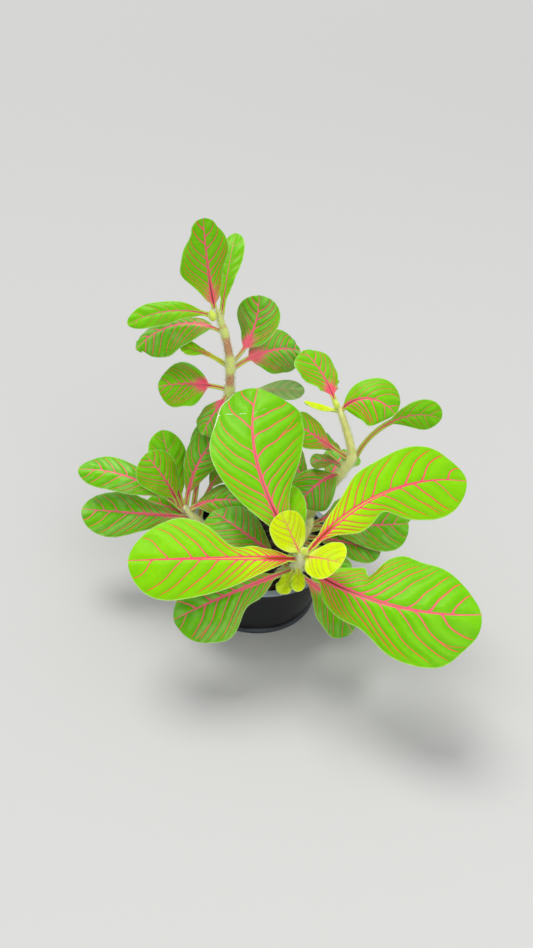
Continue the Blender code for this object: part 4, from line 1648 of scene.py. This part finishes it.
@dataclass
class Studio:
    """A pale floor, soft light from above and behind, and the camera."""

    floor_size: float = 12.0
    camera_place: tuple[float, float, float] = (1.683, -216.37, 207.0)  # x and y: another program's figures
    pitch: float = 34.75
    lean: float = 3.6
    lens: float = 28.0
    sensor: float = 36.0

    def lay_floor(self) -> None:
        """Lay the floor just under the pot."""
        bm = bmesh.new()
        bmesh.ops.create_circle(bm, cap_ends=True, segments=96, radius=self.floor_size)
        mesh = bpy.data.meshes.new("studio_floor")
        bm.to_mesh(mesh)
        bm.free()
        floor = bpy.data.objects.new("studio_floor", mesh)
        floor.location.z = -0.05 * MM
        bpy.context.scene.collection.objects.link(floor)
        material = new_material("pale_floor")
        tree = material.node_tree
        shader = add_node(tree, "BsdfPrincipled", None, {"Base Color": linear("#b4b3b0"), "Roughness": 0.75})
        add_node(tree, "OutputMaterial", None, {"Surface": shader})
        mesh.materials.append(material)

    def add_lamp(self, name: str, kind: str, toward: tuple[float, float, float], **settings: Any) -> None:
        """Hang a lamp that faces the plant.

        Args:
            name: the lamp's name.
            kind: Blender's kind of light.
            toward: where it hangs, seen from the plant, in metres.
            settings: its own settings, such as energy, angle or size.
        """
        light = bpy.data.lights.new(name, kind)
        for key, value in settings.items():
            setattr(light, key, value)
        lamp = bpy.data.objects.new(name, light)
        lamp.location = toward
        lamp.rotation_euler = (-Vector(toward)).to_track_quat("-Z", "Y").to_euler()
        bpy.context.scene.collection.objects.link(lamp)

    def light(self) -> None:
        """Hang the lamps and set a pale surround."""
        world = bpy.data.worlds.new("surround")
        world.use_nodes = True
        world.node_tree.nodes.clear()
        shade = add_node(world.node_tree, "Background", None, {"Color": linear("#eceef2"), "Strength": 0.86})
        add_node(world.node_tree, "OutputWorld", None, {"Surface": shade})
        bpy.context.scene.world = world
        self.add_lamp("key", "SUN", (-0.25, 0.35, 0.95), energy=2.15, angle=math.radians(30))
        self.add_lamp("fill", "AREA", (0.35, -0.75, 0.75), energy=4.5, size=0.9)

    def place_camera(self) -> None:
        """Set the camera at its height and angle."""
        camera = bpy.data.cameras.new("camera")
        camera.lens = self.lens
        camera.sensor_width = self.sensor
        camera.clip_start = 0.005
        camera.clip_end = 50
        stand = bpy.data.objects.new("camera", camera)
        down = math.radians(self.pitch)
        forward = Vector((0, math.cos(down), -math.sin(down)))
        right = Vector((1, 0, 0))
        up = right.cross(forward)
        turn = math.radians(self.lean)
        x_axis = math.cos(turn) * right + math.sin(turn) * up
        y_axis = math.cos(turn) * up - math.sin(turn) * right
        matrix = Matrix((x_axis, y_axis, -forward)).transposed().to_4x4()
        matrix.translation = Vector(self.camera_place) * MM
        stand.matrix_world = matrix
        bpy.context.scene.collection.objects.link(stand)
        bpy.context.scene.camera = stand

    def build(self) -> None:
        """Set up the whole studio."""
        self.lay_floor()
        self.light()
        self.place_camera()
        bpy.context.scene.view_settings.view_transform = "Standard"


def main() -> None:
    """Build the plant, its pot and the studio."""
    logging.basicConfig(level=logging.INFO, format="%(name)s: %(message)s")
    Studio().build()
    pot = GrowersPot()
    settle(pot.build(MouldedPlastic().material()), "pot")
    settle(PottingMix(pot).build(Peat().material()), "potting_mix")
    down = DownFinish().material()
    stems = {stem.name: stem for stem in STEMS}
    stem_skins = {finish: finish.material() for finish in (PALE_STEM, PINK_STEM, BUD_SKIN)}
    for stem in STEMS:
        joints = [leaf.height for leaf in LEAVES if leaf.stem == stem.name]
        settle(stem.build(joints, stem_skins[stem.finish], down), stem.name)
    leaf_skins = {tone: [finish.upper(), finish.lower(), down] for tone, finish in LEAF_FINISHES.items()}
    for leaf in LEAVES:
        piece = LeafBuilder(leaf, stems[leaf.stem]).build(leaf_skins[leaf.tone])
        settle(piece, leaf.name)
    for bud in BUDS:
        settle(bud.build(stems[bud.stem], stem_skins[BUD_SKIN], down), bud.name)


if __name__ == "__main__":
    main()
